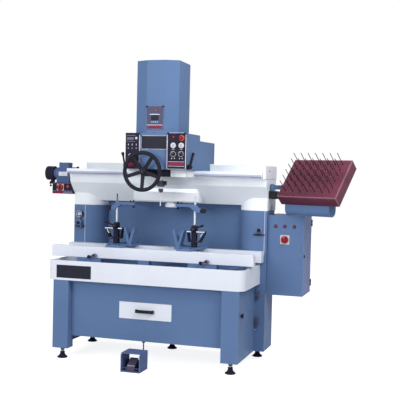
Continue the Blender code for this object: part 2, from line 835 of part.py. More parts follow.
def join(obj, *meshes):
    for mesh in meshes:
        combine(obj, mesh, "UNION")


# Base


def build_feet():
    places = {
        "foot_front_left": (-FRONT_FOOT_X, FRONT_FOOT_Y),
        "foot_front_right": (FRONT_FOOT_X, FRONT_FOOT_Y),
        "foot_rear_left": (-REAR_FOOT_X, REAR_FOOT_Y),
        "foot_rear_middle": (0.0, REAR_FOOT_Y),
        "foot_rear_right": (REAR_FOOT_X, REAR_FOOT_Y),
    }
    top = FOOT_HEIGHT - GAP
    profile = [
        (0, top),
        (NUT_RADIUS, top),
        (NUT_RADIUS, top - NUT_HEIGHT),
        (STEM_RADIUS, top - NUT_HEIGHT),
        (STEM_RADIUS, FOOT_CONE),
        (FOOT_NECK, FOOT_CONE),
        (FOOT_RADIUS, FOOT_EDGE),
        (FOOT_RADIUS, 0),
        (0, 0),
    ]
    for name, (x, y) in places.items():
        mesh = turned(profile, (0, 0, 0), COARSE)
        mesh.transform(Matrix.Translation((x, y, 0)))
        add_part(name, mesh, "black_plastic", (x, y, 0), smooth=True)


def build_base_cabinet():
    inner = BASE_HALF - SHEET
    far = BODY_FRONT + SHEET
    base = add_part(
        "base_cabinet",
        box((-BASE_HALF, LEG_FRONT, FOOT_HEIGHT), (BASE_HALF, BODY_FRONT - GAP, BASE_TOP)),
        "blue_paint",
    )
    front_recess = box((-LEG_INNER, -SHEET, 0), (LEG_INNER, LEG_BACK, BASE_TOP + SHEET))
    room_front = LEG_BACK - SHEET / 2
    upper_room = box(
        (-inner, room_front, FLOOR_UNDER + SHEET),
        (inner, BODY_FRONT - SHEET, BASE_TOP + SHEET),
    )
    lower_room = box((-inner, room_front, 0), (inner, far, FLOOR_UNDER))
    cut(base, front_recess, upper_room, lower_room)
    gland_bottom = (CABLE_GLAND_X, CABLE_GLAND_Y, FLOOR_UNDER - CABLE_GLAND_LENGTH)
    gland_top = (CABLE_GLAND_X, CABLE_GLAND_Y, FLOOR_UNDER + SHEET / 2)
    join(base, cylinder(gland_bottom, gland_top, CABLE_GLAND_RADIUS, COARSE))


def build_front_panel():
    """Front panel with the drawer's carcass welded behind its opening."""
    half = LEG_INNER - GAP
    back = PANEL_FRONT + PANEL_SHEET
    panel = add_part(
        "front_panel",
        box((-half, PANEL_FRONT, FLOOR_UNDER), (half, back, BASE_TOP - GAP)),
        "blue_paint",
    )
    side = DRAWER_WIDTH / 2 + CARCASS_WALL
    end = PANEL_FRONT + DRAWER_DEPTH + DRAWER_FRONT + CARCASS_WALL * 2
    carcass = box(
        (-side, PANEL_FRONT + PANEL_SHEET / 2, DRAWER_BOTTOM - CARCASS_WALL),
        (side, end, DRAWER_TOP + CARCASS_WALL),
    )
    join(panel, carcass)
    opening = box(
        (-DRAWER_WIDTH / 2, 0, DRAWER_BOTTOM),
        (DRAWER_WIDTH / 2, end - CARCASS_WALL, DRAWER_TOP),
    )
    cut(panel, opening)


def build_drawer():
    half = DRAWER_WIDTH / 2 - DRAWER_PLAY
    face = PANEL_FRONT - DRAWER_PROUD
    bottom = DRAWER_BOTTOM + GAP
    pivot = (0, face, bottom)
    drawer = add_part(
        "drawer",
        box((-half, face, bottom), (half, face + DRAWER_FRONT, DRAWER_TOP - DRAWER_PLAY)),
        "white_paint",
        pivot,
    )
    end = face + DRAWER_FRONT + DRAWER_DEPTH
    rim = DRAWER_TOP - DRAWER_RIM_DROP
    side = half - DRAWER_WALL
    join(drawer, box((-half, face + DRAWER_FRONT / 2, bottom), (half, end, rim)))
    hollow = box(
        (-side, face + DRAWER_FRONT, bottom + DRAWER_WALL),
        (side, end - DRAWER_WALL, DRAWER_TOP + DRAWER_WALL),
    )
    cut(drawer, hollow)
    out = face - HANDLE_REACH
    back = face - GAP
    run = HANDLE_WIDTH / 2
    inside = run - HANDLE_THICK
    plan = [
        (-run, back),
        (-run, out + HANDLE_EDGE),
        (-run + HANDLE_EDGE, out),
        (run - HANDLE_EDGE, out),
        (run, out + HANDLE_EDGE),
        (run, back),
        (inside, back),
        (inside, out + HANDLE_THICK),
        (-inside, out + HANDLE_THICK),
        (-inside, back),
    ]
    low = (DRAWER_BOTTOM + DRAWER_TOP - HANDLE_HEIGHT) / 2
    handle = extruded(plan, low, low + HANDLE_HEIGHT, "XY")
    add_part("drawer_handle", handle, "black_plastic", pivot)


def tray_outline(inset):
    """Plan of the chip tray: square at the back, rounded in front, more so on the right."""
    half = TRAY_HALF - inset
    back = BODY_FRONT - GAP - inset
    left_centre = (TRAY_LEFT_CORNER - TRAY_HALF, TRAY_LEFT_CORNER)
    right_centre = (TRAY_HALF - TRAY_RIGHT_CORNER, TRAY_RIGHT_CORNER)
    left = arc(left_centre, TRAY_LEFT_CORNER - inset, 180, 270, CORNER_STEPS)
    right = arc(right_centre, TRAY_RIGHT_CORNER - inset, 270, 360, CORNER_STEPS)
    return [(-half, back), *left, *right, (half, back)]


def build_chip_tray():
    bottom = BASE_TOP + GAP
    tray = add_part(
        "chip_tray", extruded(tray_outline(0), bottom, TRAY_TOP, "XY"), "white_paint"
    )
    room = extruded(tray_outline(TRAY_WALL), bottom + TRAY_FLOOR, TRAY_TOP + TRAY_WALL, "XY")
    cut(tray, room)


# Bed


def build_bed():
    """Two bed rails on a welded ladder frame that stands in the tray."""
    add_part(
        "front_rail",
        box((RAIL_LEFT, RAIL_FRONT, BED_BOTTOM), (RAIL_RIGHT, RAIL_FRONT + RAIL_DEPTH, BED_TOP)),
        "white_paint",
    )
    add_part(
        "rear_rail",
        box(
            (RAIL_LEFT + REAR_RAIL_SHORT, REAR_RAIL_FRONT, BED_BOTTOM),
            (RAIL_RIGHT - REAR_RAIL_SHORT, REAR_RAIL_BACK, BED_TOP),
        ),
        "white_paint",
    )
    low = FRAME_TOP - FRAME_HEIGHT
    front = RAIL_FRONT + (RAIL_DEPTH - FRAME_BAR) / 2
    back = (REAR_RAIL_FRONT + REAR_RAIL_BACK + FRAME_BAR) / 2
    frame = add_part(
        "bed_frame",
        box((-FRAME_HALF, front, low), (FRAME_HALF, front + FRAME_BAR, FRONT_BAR_TOP)),
        "blue_paint",
    )
    join(frame, box((-FRAME_HALF, back - FRAME_BAR, low), (FRAME_HALF, back, FRAME_TOP)))
    for i in range(CROSS_BARS):
        x = (i - (CROSS_BARS - 1) / 2) * CROSS_BAR_PITCH
        join(
            frame,
            box(
                (x - FRAME_BAR / 2, front + FRAME_BAR / 2, low + FRAME_BAR / 8),
                (x + FRAME_BAR / 2, back - FRAME_BAR / 2, FRONT_BAR_TOP - CROSS_BAR_DROP),
            ),
        )
    seat_front = RAIL_FRONT - SEAT_FORWARD
    seat_back = front + FRAME_BAR - SEAT_BACK_INSET
    for left, right in SEATS:
        join(
            frame,
            box((left, seat_front, FRONT_BAR_TOP - SEAT_RISE / 2), (right, seat_back, FRAME_TOP)),
        )
    for x in (-FRAME_POST_X, FRAME_POST_X):
        for y in (front + FRAME_BAR / 2, back - FRAME_BAR / 2):
            half = FRAME_POST / 2
            join(
                frame,
                box(
                    (x - half, y - half, TRAY_FLOOR_TOP + GAP),
                    (x + half, y + half, low + FRAME_BAR / 4),
                ),
            )


def build_rail_clamps():
    """Clamp levers on the front rail's face, their balls to the left and below."""
    for name, x in (("rail_clamp_left", -RAIL_CLAMP_X), ("rail_clamp_right", RAIL_CLAMP_X)):
        face = RAIL_FRONT - GAP
        pivot = (x, face, RAIL_CLAMP_Z)
        out = face - RAIL_CLAMP_STANDOFF
        middle = (x, out + RAIL_CLAMP_STANDOFF / 3, RAIL_CLAMP_Z)
        tip = (x - RAIL_CLAMP_REACH, middle[1], RAIL_CLAMP_Z - RAIL_CLAMP_DROP)
        clamp = add_part(
            name,
            cylinder(pivot, (x, out, RAIL_CLAMP_Z), RAIL_CLAMP_HUB, COARSE),
            "black_plastic",
            pivot,
            True,
        )
        join(clamp, cylinder(middle, tip, LEVER_ROD, ROD_SIDES), ball(tip, LEVER_BALL))


# Rear body and beam


def body_outline(inset):
    """Plan of the rear body: a tower each side of a recess, with rounded inner corners."""
    half = BODY_HALF - inset
    front = BODY_FRONT + inset
    back = BODY_BACK - inset
    turn_x = BODY_HALF - TOWER_FLAT
    turn_y = BODY_FRONT + TOWER_CORNER
    radius = TOWER_CORNER - inset
    wall = RECESS_BACK + inset
    inner = turn_x - radius
    left = arc((-turn_x, turn_y), radius, -90, 0, CORNER_STEPS)
    right = arc((turn_x, turn_y), radius, 180, 270, CORNER_STEPS)
    return [
        (-half, front),
        *left,
        (-inner, wall),
        (inner, wall),
        *right,
        (half, front),
        (half, back),
        (-half, back),
    ]


def build_rear_body():
    body = add_part(
        "rear_body", extruded(body_outline(0), FOOT_HEIGHT, BODY_TOP, "XY"), "blue_paint"
    )
    room = extruded(body_outline(BODY_WALL), FOOT_HEIGHT + SHEET, BODY_TOP + SHEET, "XY")
    cut(body, room)


def build_beam():
    """Beam with an overhanging front, the towers' caps, the rear slideway and an end plate."""
    bottom = BODY_TOP + GAP
    profile = [
        (BEAM_FRONT, BEAM_TOP),
        (BEAM_KNEE_Y, BEAM_KNEE_Z),
        (BODY_FRONT, BEAM_CAP_Z),
        (BEAM_KEEL_Y, BEAM_KEEL_Z),
        (RECESS_BACK, BEAM_KEEL_Z),
        (RECESS_BACK, bottom),
        (BODY_BACK, bottom),
        (BODY_BACK, REAR_WAY_TOP),
        (REAR_WAY_FRONT, REAR_WAY_TOP),
        (REAR_WAY_FRONT, BEAM_TOP),
    ]
    beam = add_part("beam", extruded(profile, -BEAM_HALF, BEAM_HALF, "YZ"), "white_paint")
    join(beam, extruded(body_outline(0), bottom, BEAM_CAP_Z, "XY"))
    room = box(
        (-BODY_HALF + BEAM_WALL, RECESS_BACK + BEAM_WALL, bottom - SHEET),
        (BODY_HALF - BEAM_WALL, BODY_BACK - BEAM_WALL, BEAM_TOP - BEAM_WALL),
    )
    cut(beam, room)
    plate_left = BEAM_HALF - END_PLATE
    plate = box(
        (plate_left, BODY_FRONT - END_PLATE_REACH, BEAM_TOP - END_PLATE_FALL),
        (
            BEAM_HALF + END_PLATE_PROUD,
            BODY_BACK - END_PLATE_INSET,
            REAR_WAY_TOP - END_PLATE_INSET,
        ),
    )
    join(beam, plate)
    slideway = box(
        (-BEAM_HALF, SLIDEWAY_FRONT, BEAM_TOP + GAP),
        (plate_left - GAP, SLIDEWAY_FRONT + SLIDEWAY_DEPTH, SLIDEWAY_TOP),
    )
    add_part("front_slideway", slideway, "white_paint")


def beam_face(z):
    """Depth of the beam's slanted front at a height below its knee."""
    if z > BEAM_CAP_Z:
        share = (BEAM_KNEE_Z - z) / (BEAM_KNEE_Z - BEAM_CAP_Z)
        return BEAM_KNEE_Y + share * (BODY_FRONT - BEAM_KNEE_Y)
    share = (BEAM_CAP_Z - z) / (BEAM_CAP_Z - BEAM_KEEL_Z)
    return BODY_FRONT + share * (BEAM_KEEL_Y - BODY_FRONT)


def build_work_light():
    profile = [
        (beam_face(LIGHT_TOP) - GAP * 2, LIGHT_TOP),
        (LIGHT_FRONT, LIGHT_TOP - LIGHT_EDGE),
        (LIGHT_FRONT, LIGHT_BOTTOM + LIGHT_EDGE),
        (LIGHT_FRONT + LIGHT_EDGE, LIGHT_BOTTOM),
        (beam_face(LIGHT_BOTTOM) - GAP * 2, LIGHT_BOTTOM),
        (BODY_FRONT - GAP * 2, BEAM_CAP_Z),
    ]
    left = LIGHT_X - LIGHT_WIDTH / 2
    light = add_part(
        "work_light", extruded(profile, left, left + LIGHT_WIDTH, "YZ"), "white_paint"
    )
    lens_top = (LENS_X, LENS_Y, LIGHT_BOTTOM + LIGHT_EDGE)
    lens_bottom = (LENS_X, LENS_Y, LIGHT_BOTTOM - LENS_DROP)
    join(light, cylinder(lens_bottom, lens_top, LENS_RADIUS, MEDIUM, LENS_TOP_RADIUS))


# Spindle head


def head_outline(inset, bottom):
    """Side profile of the head cover: high at the front, stepped down at the back."""
    return [
        (HEAD_FRONT + inset, bottom),
        (HEAD_BACK - inset, bottom),
        (HEAD_BACK - inset, HEAD_REAR_TOP - inset),
        (HEAD_STEP - inset, HEAD_REAR_TOP - inset),
        (HEAD_STEP - inset, HEAD_TOP - inset),
        (HEAD_FRONT + inset, HEAD_TOP - inset),
    ]


def build_head_cover():
    left = HEAD_X - HEAD_HALF
    right = HEAD_X + HEAD_HALF
    below = HEAD_BOTTOM - SHEET
    cover = add_part(
        "head_cover",
        extruded(head_outline(0, HEAD_BOTTOM), left, right, "YZ"),
        "blue_paint",
        (HEAD_X, SPINDLE_Y, HEAD_BOTTOM),
    )
    notch = box((left - SHEET, HEAD_NOTCH_Y, below), (right + SHEET, HEAD_BACK + SHEET, HEAD_NOTCH_Z))
    room = extruded(
        head_outline(HEAD_WALL, below), left + HEAD_WALL, right - HEAD_WALL, "YZ"
    )
    passage = MOTOR_RADIUS + SHEET
    hole = box(
        (HEAD_X - passage, SPINDLE_Y - passage, HEAD_TOP - SHEET),
        (HEAD_X + passage, SPINDLE_Y + passage, HEAD_TOP + SHEET),
    )
    cut(cover, notch, room, hole)


def column_outline(inset):
    """Plan of the column cover: a flat middle face between two chamfers."""
    half = COLUMN_HALF - inset
    face = COLUMN_FACE_HALF - inset / 2
    front = HEAD_FRONT + inset
    back = COLUMN_BACK - inset
    return [
        (COLUMN_X - face, front),
        (COLUMN_X + face, front),
        (COLUMN_X + half, front + COLUMN_CHAMFER),
        (COLUMN_X + half, back),
        (COLUMN_X - half, back),
        (COLUMN_X - half, front + COLUMN_CHAMFER),
    ]


def build_column_cover():
    bottom = HEAD_TOP + GAP
    cover = add_part(
        "column_cover",
        extruded(column_outline(0), bottom, COLUMN_TOP, "XY"),
        "blue_paint",
        (HEAD_X, SPINDLE_Y, bottom),
    )
    room = extruded(column_outline(COLUMN_WALL), bottom - SHEET, COLUMN_TOP - COLUMN_WALL, "XY")
    cut(cover, room)


def build_head_casting():
    """Casting that slides on the beam and carries the quill in its front boss."""
    half = HEAD_HALF - HEAD_WALL - GAP
    low = SLIDEWAY_TOP + GAP
    casting = add_part(
        "head_casting",
        box(
            (HEAD_X - half, CASTING_BACK - SHEET, low),
            (HEAD_X + half, REAR_WAY_FRONT - SHEET, low + CASTING_PLATE),
        ),
        "dark_steel",
        (HEAD_X, SPINDLE_Y, low),
    )
    boss = box(
        (HEAD_X - CASTING_LEFT, CASTING_FRONT, CASTING_BOTTOM),
        (HEAD_X + CASTING_RIGHT, CASTING_BACK, CASTING_TOP),
    )
    join(casting, boss)
    bottom = CASTING_BOTTOM - SHEET
    top = CASTING_TOP + SHEET
    bore = cylinder(
        (HEAD_X, SPINDLE_Y, bottom), (HEAD_X, SPINDLE_Y, top), QUILL_RADIUS + RUNNING, FINE
    )
    tooth_tip = FEED_AXIS_X + PINION_RADIUS - MODULE
    slot_half = RACK_WIDTH / 2 + RUNNING
    slot = box(
        (tooth_tip - RUNNING * 2, SPINDLE_Y - slot_half, bottom),
        (HEAD_X, SPINDLE_Y + slot_half, top),
    )
    room = PINION_RADIUS + MODULE + PINION_ROOM
    room_half = PINION_WIDTH / 2 + RUNNING
    pocket = box(
        (FEED_AXIS_X - room, SPINDLE_Y - room_half, FEED_AXIS_Z - room),
        (HEAD_X - QUILL_RADIUS / 2, SPINDLE_Y + room_half, FEED_AXIS_Z + room),
    )
    shaft_bore = cylinder(
        (FEED_AXIS_X, CASTING_FRONT - SHEET, FEED_AXIS_Z),
        (FEED_AXIS_X, FEED_SHAFT_BACK + RUNNING, FEED_AXIS_Z),
        FEED_SHAFT_RADIUS + RUNNING,
        MEDIUM,
    )
    cut(casting, bore, slot, pocket, shaft_bore)


def rack_outline():
    """Rack in the XZ plane, with a tooth space level with the pinion's axis."""
    pitch = math.pi * MODULE
    line = FEED_AXIS_X + PINION_RADIUS
    slope = math.tan(PRESSURE_ANGLE)
    half = pitch / 4 - BACKLASH
    tip_half = half - MODULE * slope
    root_half = half + MODULE * TOOTH_ROOT * slope
    tip = line - MODULE
    root = line + MODULE * TOOTH_ROOT
    below = int((FEED_AXIS_Z - QUILL_BOTTOM) / pitch - 0.5)
    above = int((QUILL_TOP - FEED_AXIS_Z) / pitch - 0.5)
    seat = HEAD_X - QUILL_RADIUS + RACK_SEAT
    points = [(seat, QUILL_TOP), (seat, QUILL_BOTTOM)]
    points.append((root, QUILL_BOTTOM))
    for i in range(-below, above):
        z = FEED_AXIS_Z + (i + 0.5) * pitch
        points.append((root, z - root_half))
        points.append((tip, z - tip_half))
        points.append((tip, z + tip_half))
        points.append((root, z + root_half))
    points.append((root, QUILL_TOP))
    return points


def build_quill():
    """Quill sleeve with its feed rack on the left side."""
    pivot = (HEAD_X, SPINDLE_Y, QUILL_BOTTOM)
    bore = SPINDLE_RADIUS + RUNNING
    profile = [
        (bore, QUILL_LENGTH),
        (QUILL_RADIUS, QUILL_LENGTH),
        (QUILL_RADIUS, 0),
        (bore, 0),
    ]
    quill = add_part("quill", turned(profile, pivot, FINE), "bright_steel", pivot, True)
    half = RACK_WIDTH / 2
    join(quill, extruded(rack_outline(), SPINDLE_Y - half, SPINDLE_Y + half, "XZ"))


def build_spindle():
    pivot = (HEAD_X, SPINDLE_Y, SPINDLE_NOSE_BOTTOM)
    shoulder = QUILL_BOTTOM - SPINDLE_SHOULDER - SPINDLE_NOSE_BOTTOM
    top = QUILL_TOP - SPINDLE_NOSE_BOTTOM
    spline = SPLINE_TOP - SPINDLE_NOSE_BOTTOM
    profile = [
        (0, spline),
        (SPLINE_RADIUS, spline),
        (SPLINE_RADIUS, top),
        (SPINDLE_RADIUS, top),
        (SPINDLE_RADIUS, shoulder),
        (SPINDLE_NOSE, shoulder),
        (SPINDLE_NOSE, 0),
        (0, 0),
    ]
    add_part("spindle", turned(profile, pivot), "bright_steel", pivot, True)


def build_tool_holder():
    """Holder on the spindle nose, with a neck, a seat cutter and its pilot below."""
    pivot = (HEAD_X, SPINDLE_Y, SPINDLE_NOSE_BOTTOM)
    bore = SPINDLE_NOSE + GAP
    top = SOCKET_DEPTH - SPINDLE_SHOULDER
    low = top - HOLDER_HEIGHT
    neck = low - HOLDER_NECK_HEIGHT
    cutter = neck - CUTTER_HEIGHT
    profile = [
        (0, -GAP),
        (bore, -GAP),
        (bore, top),
        (HOLDER_RADIUS - HOLDER_CHAMFER, top),
        (HOLDER_RADIUS, top - HOLDER_CHAMFER),
        (HOLDER_RADIUS, low + HOLDER_CHAMFER),
        (HOLDER_RADIUS - HOLDER_CHAMFER, low),
        (HOLDER_NECK, low),
        (HOLDER_NECK, neck),
        (CUTTER_RADIUS, neck),
        (CUTTER_RADIUS, cutter + HOLDER_CHAMFER),
        (CUTTER_RADIUS - HOLDER_CHAMFER, cutter),
        (PILOT_RADIUS, cutter),
        (PILOT_RADIUS, cutter - PILOT_LENGTH),
        (0, cutter - PILOT_LENGTH),
    ]
    add_part("tool_holder", turned(profile, pivot), "dark_steel", pivot, True)


def build_spindle_motor():
    """Hollow-shaft motor on the casting, inside the column cover."""
    bottom = CASTING_TOP + GAP
    pivot = (HEAD_X, SPINDLE_Y, bottom)
    bore = SPLINE_RADIUS + RUNNING
    body = MOTOR_HEIGHT - MOTOR_CAP_HEIGHT
    profile = [
        (bore, MOTOR_HEIGHT),
        (MOTOR_CAP, MOTOR_HEIGHT),
        (MOTOR_CAP, body),
        (MOTOR_RADIUS, body),
        (MOTOR_RADIUS, 0),
        (bore, 0),
    ]
    add_part("spindle_motor", turned(profile, pivot), "grey_housing", pivot, True)


def pinion_outline():
    """Involute pinion in the XZ plane, with a tooth towards the rack."""
    base = PINION_RADIUS * math.cos(PRESSURE_ANGLE)
    root = PINION_RADIUS - MODULE * TOOTH_ROOT
    tip = PINION_RADIUS + MODULE
    half_pitch = (math.pi * MODULE / 4 - BACKLASH) / PINION_RADIUS
    pitch_roll = math.tan(PRESSURE_ANGLE) - PRESSURE_ANGLE

    def half_angle(radius):
        pressure = math.acos(min(1.0, base / radius))
        return half_pitch + pitch_roll - (math.tan(pressure) - pressure)

    radii = (root, base, PINION_RADIUS, tip)
    points = []
    for i in range(PINION_TEETH):
        middle = 2 * math.pi * i / PINION_TEETH
        rising = [(radius, middle - half_angle(max(radius, base))) for radius in radii]
        falling = [(radius, middle + half_angle(max(radius, base))) for radius in radii]
        for radius, angle in (*rising, *reversed(falling)):
            points.append(
                (
                    FEED_AXIS_X + radius * math.cos(angle),
                    FEED_AXIS_Z + radius * math.sin(angle),
                )
            )
    return points


def spoke_outline(angle):
    """Outline of a handwheel spoke in the XZ plane, narrower at the rim."""
    along = Vector((math.cos(angle), math.sin(angle)))
    across = Vector((-along.y, along.x)) / 2
    axis = Vector((FEED_AXIS_X, FEED_AXIS_Z))
    root = axis + along * WHEEL_HUB / 2
    tip = axis + along * (WHEEL_RADIUS - WHEEL_RIM)
    return [
        root - across * SPOKE_ROOT,
        tip - across * SPOKE_TIP,
        tip + across * SPOKE_TIP,
        root + across * SPOKE_ROOT,
    ]


def build_feed():
    """Feed shaft with its pinion, and the handwheel that turns it."""
    pivot = (FEED_AXIS_X, WHEEL_Y, FEED_AXIS_Z)
    hub_back = WHEEL_Y + WHEEL_HUB_LENGTH / 2
    shaft = add_part(
        "feed_shaft",
        cylinder(
            (FEED_AXIS_X, hub_back + GAP, FEED_AXIS_Z),
            (FEED_AXIS_X, FEED_SHAFT_BACK, FEED_AXIS_Z),
            FEED_SHAFT_RADIUS,
        ),
        "bright_steel",
        pivot,
        True,
    )
    half = PINION_WIDTH / 2
    join(shaft, extruded(pinion_outline(), SPINDLE_Y - half, SPINDLE_Y + half, "XZ"))
    hub = cylinder(
        (FEED_AXIS_X, WHEEL_Y - WHEEL_HUB_LENGTH / 2, FEED_AXIS_Z),
        (FEED_AXIS_X, hub_back, FEED_AXIS_Z),
        WHEEL_HUB,
    )
    wheel = add_part("handwheel", hub, "black_plastic", pivot, True)
    bpy.ops.mesh.primitive_torus_add(
        major_segments=RIM_STEPS,
        minor_segments=ROD_SIDES,
        major_radius=WHEEL_RADIUS - WHEEL_RIM,
        minor_radius=WHEEL_RIM,
    )
    torus = bpy.context.object
    rim = torus.data.copy()
    bpy.data.objects.remove(torus, do_unlink=True)
    rim.transform(Matrix.Translation(pivot) @ Matrix.Rotation(math.pi / 2, 4, "X"))
    join(wheel, rim)
    half = SPOKE_THICK / 2
    for i in range(SPOKES):
        angle = 2 * math.pi * i / SPOKES - math.pi / 2
        join(wheel, extruded(spoke_outline(angle), WHEEL_Y - half, WHEEL_Y + half, "XZ"))


def build_head_levers():
    """Lock levers at the head's sides, swinging on cross axes."""
    places = (
        (
            "left_lever",
            HEAD_X - HEAD_HALF - GAP,
            -1,
            LEFT_LEVER_Y,
            LEFT_LEVER_Z,
            0.0,
            LEFT_LEVER_RISE,
        ),
        (
            "right_lever",
            HEAD_X + HEAD_HALF + GAP,
            1,
            RIGHT_LEVER_Y,
            RIGHT_LEVER_Z,
            RIGHT_LEVER_LEAN,
            RIGHT_LEVER_RISE,
        ),
    )
    for name, x, side, y, z, lean, rise in places:
        pivot = (x, y, z)
        out = x + side * LEVER_HUB_LENGTH
        middle = x + side * LEVER_STANDOFF
        tip = (middle, y + lean, z + rise)
        lever = add_part(
            name, cylinder(pivot, (out, y, z), LEVER_HUB, COARSE), "black_plastic", pivot, True
        )
        join(lever, cylinder((middle, y, z), tip, LEVER_ROD, ROD_SIDES), ball(tip, LEVER_BALL))


# Control panel


def build_right_panel():
    back = HEAD_FRONT - GAP
    panel = add_part(
        "right_panel",
        box((PANEL_LEFT, PANEL_FACE, PANEL_BOTTOM), (PANEL_RIGHT, back, PANEL_TOP)),
        "grey_housing",
        (HEAD_X, SPINDLE_Y, HEAD_BOTTOM),
    )
    holes = [(STOP_X, STOP_Z, STOP_STEM)]
    holes += [(x, BUTTON_Z, BUTTON_RADIUS) for x in BUTTON_X]
    for x, z, radius in holes:
        start = (x, PANEL_FACE - SHEET, z)
        end = (x, back + SHEET, z)
        cut(panel, cylinder(start, end, radius + BUTTON_PLAY))


def build_panel_buttons():
    pivot = (STOP_X, PANEL_FACE, STOP_Z)
    crown = STOP_STANDOFF + STOP_HEIGHT
    profile = [
        (0, crown),
        (STOP_RADIUS - STOP_EDGE, crown),
        (STOP_RADIUS, crown - STOP_EDGE),
        (STOP_RADIUS, STOP_STANDOFF),
        (STOP_STEM, STOP_STANDOFF),
        (STOP_STEM, -STEM_DEPTH),
        (0, -STEM_DEPTH),
    ]
    add_part(
        "emergency_stop", turned(profile, pivot, axis="-Y"), "red_plastic", pivot, True
    )
    for name, x in zip(("start_button", "stop_button"), BUTTON_X):
        pivot = (x, PANEL_FACE, BUTTON_Z)
        profile = [
            (0, BUTTON_PROUD),
            (BUTTON_RADIUS - BUTTON_EDGE, BUTTON_PROUD),
            (BUTTON_RADIUS, BUTTON_PROUD - BUTTON_EDGE),
            (BUTTON_RADIUS, -STEM_DEPTH),
            (0, -STEM_DEPTH),
        ]
        add_part(name, turned(profile, pivot, axis="-Y"), "white_plastic", pivot, True)


def add_knob(name, place, radius, height, grip, grip_height, finish):
    """Add a knob on a face that looks to the front, with a grip bar across it."""
    x, face, z = place
    pivot = (x, face - GAP, z)
    front = face - GAP - height
    knob = add_part(name, cylinder(pivot, (x, front, z), radius), finish, pivot, True)
    low = (x - grip / 2, front - grip_height, z - radius + GRIP_EDGE)
    high = (x + grip / 2, front + height / 2, z + radius - GRIP_EDGE)
    join(knob, box(low, high))


def build_knobs():
    for name, x in zip(("speed_knob", "feed_knob"), KNOB_X):
        place = (x, PANEL_FACE, KNOB_Z)
        add_knob(
            name, place, KNOB_RADIUS, KNOB_HEIGHT, POINTER_WIDTH, POINTER_HEIGHT, "black_plastic"
        )
    add_knob(
        "main_switch",
        (SWITCH_X, CABINET_FRONT, SWITCH_Z),
        SWITCH_RADIUS,
        SWITCH_HEIGHT,
        SWITCH_GRIP,
        SWITCH_GRIP_HEIGHT,
        "red_plastic",
    )
    add_knob(
        "grinder_switch",
        (ISOLATOR_X, SWITCH_BOX_FRONT, ISOLATOR_Z),
        ISOLATOR_RADIUS,
        ISOLATOR_HEIGHT,
        ISOLATOR_GRIP,
        ISOLATOR_GRIP_HEIGHT,
        "red_plastic",
    )
    add_knob(
        "regulator_knob",
        (AIR_X, BODY_FRONT - GAP - AIR_DEPTH, REGULATOR_Z),
        REGULATOR_RADIUS,
        REGULATOR_HEIGHT,
        POINTER_WIDTH,
        POINTER_HEIGHT,
        "black_plastic",
    )
    add_knob(
        "valve_knob",
        (VALVE_X, BODY_FRONT, VALVE_Z),
        VALVE_RADIUS,
        VALVE_HEIGHT,
        POINTER_WIDTH,
        POINTER_HEIGHT,
        "black_plastic",
    )


# Electric cabinet


def build_cabinet():
    """Sheet-metal cabinet on the right tower, its door on the outer side."""
    seat = CABINET_RIGHT - DOOR_THICK
    cabinet = add_part(
        "electric_cabinet",
        box(
            (CABINET_LEFT, CABINET_FRONT, CABINET_BOTTOM),
            (seat - GAP, CABINET_BACK, CABINET_TOP),
        ),
        "blue_paint",
    )
    room = box(
        (CABINET_LEFT + CABINET_WALL, CABINET_FRONT + CABINET_WALL, CABINET_BOTTOM + CABINET_WALL),
        (CABINET_RIGHT, CABINET_BACK - CABINET_WALL, CABINET_TOP - CABINET_WALL),
    )
    cut(cabinet, room)
    add_part(
        "cabinet_door",
        box((seat, CABINET_FRONT, CABINET_BOTTOM), (CABINET_RIGHT, CABINET_BACK, CABINET_TOP)),
        "blue_paint",
        (CABINET_RIGHT, CABINET_BACK, CABINET_BOTTOM),
    )
    left = CABINET_LEFT + CABINET_WALL + GAP
    middle_y = CABINET_FRONT + CABINET_DEPTH / 2
    middle_z = CABINET_BOTTOM + CABINET_HEIGHT / 2
    add_part(
        "drive_unit",
        box(
            (left, middle_y - DRIVE_DEPTH / 2, middle_z - DRIVE_HEIGHT / 2),
            (left + DRIVE_WIDTH, middle_y + DRIVE_DEPTH / 2, middle_z + DRIVE_HEIGHT / 2),
        ),
        "grey_housing",
    )


# Tool board


def board_place():
    """Board's own axes: width, depth up the slope and square off its face."""
    turn = Matrix.Rotation(BOARD_YAW, 4, "Z") @ Matrix.Rotation(BOARD_TILT, 4, "X")
    return Matrix.Translation((BOARD_X, BOARD_Y, BOARD_Z)) @ turn


def build_tool_board():
    place = board_place()
    half = Vector((BOARD_WIDTH, BOARD_DEPTH, BOARD_THICK)) / 2
    block = box(-half, half)
    block.transform(place)
    board = add_part("tool_board", block, "varnished_wood", (POST_X, POST_Y, ARM_BOTTOM))
    for column in range(PIN_COLUMNS):
        for row in range(PIN_ROWS):
            x = (column - (PIN_COLUMNS - 1) / 2) * PIN_PITCH
            y = (row - (PIN_ROWS - 1) / 2) * PIN_ROW_PITCH
            foot = (x, y, half.z - PIN_RADIUS)
            tip = (x, y, half.z + PIN_LENGTH)
            pin = cylinder(foot, tip, PIN_RADIUS, PIN_SIDES)
            pin.transform(place)
            join(board, pin)


def board_underside(depth):
    """Height of the board's underside, less a gap, at a level distance behind its middle."""
    drop = BOARD_THICK / 2 / math.cos(BOARD_TILT) + GAP * 2
    return BOARD_Z - drop + depth * math.tan(BOARD_TILT)


def tray_box_outline(inset):
    """Section of the tool tray: round below, its top under the sloping board."""
    front = TRAY_BOX_FRONT + inset
    back = TRAY_BOX_FRONT + TRAY_BOX_DEPTH - inset
    radius = TRAY_BOX_CORNER - inset
    over = TRAY_BOX_OVER if inset else 0.0
    centre_z = TRAY_BOX_BOTTOM + TRAY_BOX_CORNER
    low_left = arc((front + radius, centre_z), radius, 180, 270, CORNER_STEPS)
    low_right = arc((back - radius, centre_z), radius, 270, 360, CORNER_STEPS)
    front_top = (front, board_underside(front) + over)
    return [front_top, *low_left, *low_right, (back, board_underside(back) + over)]


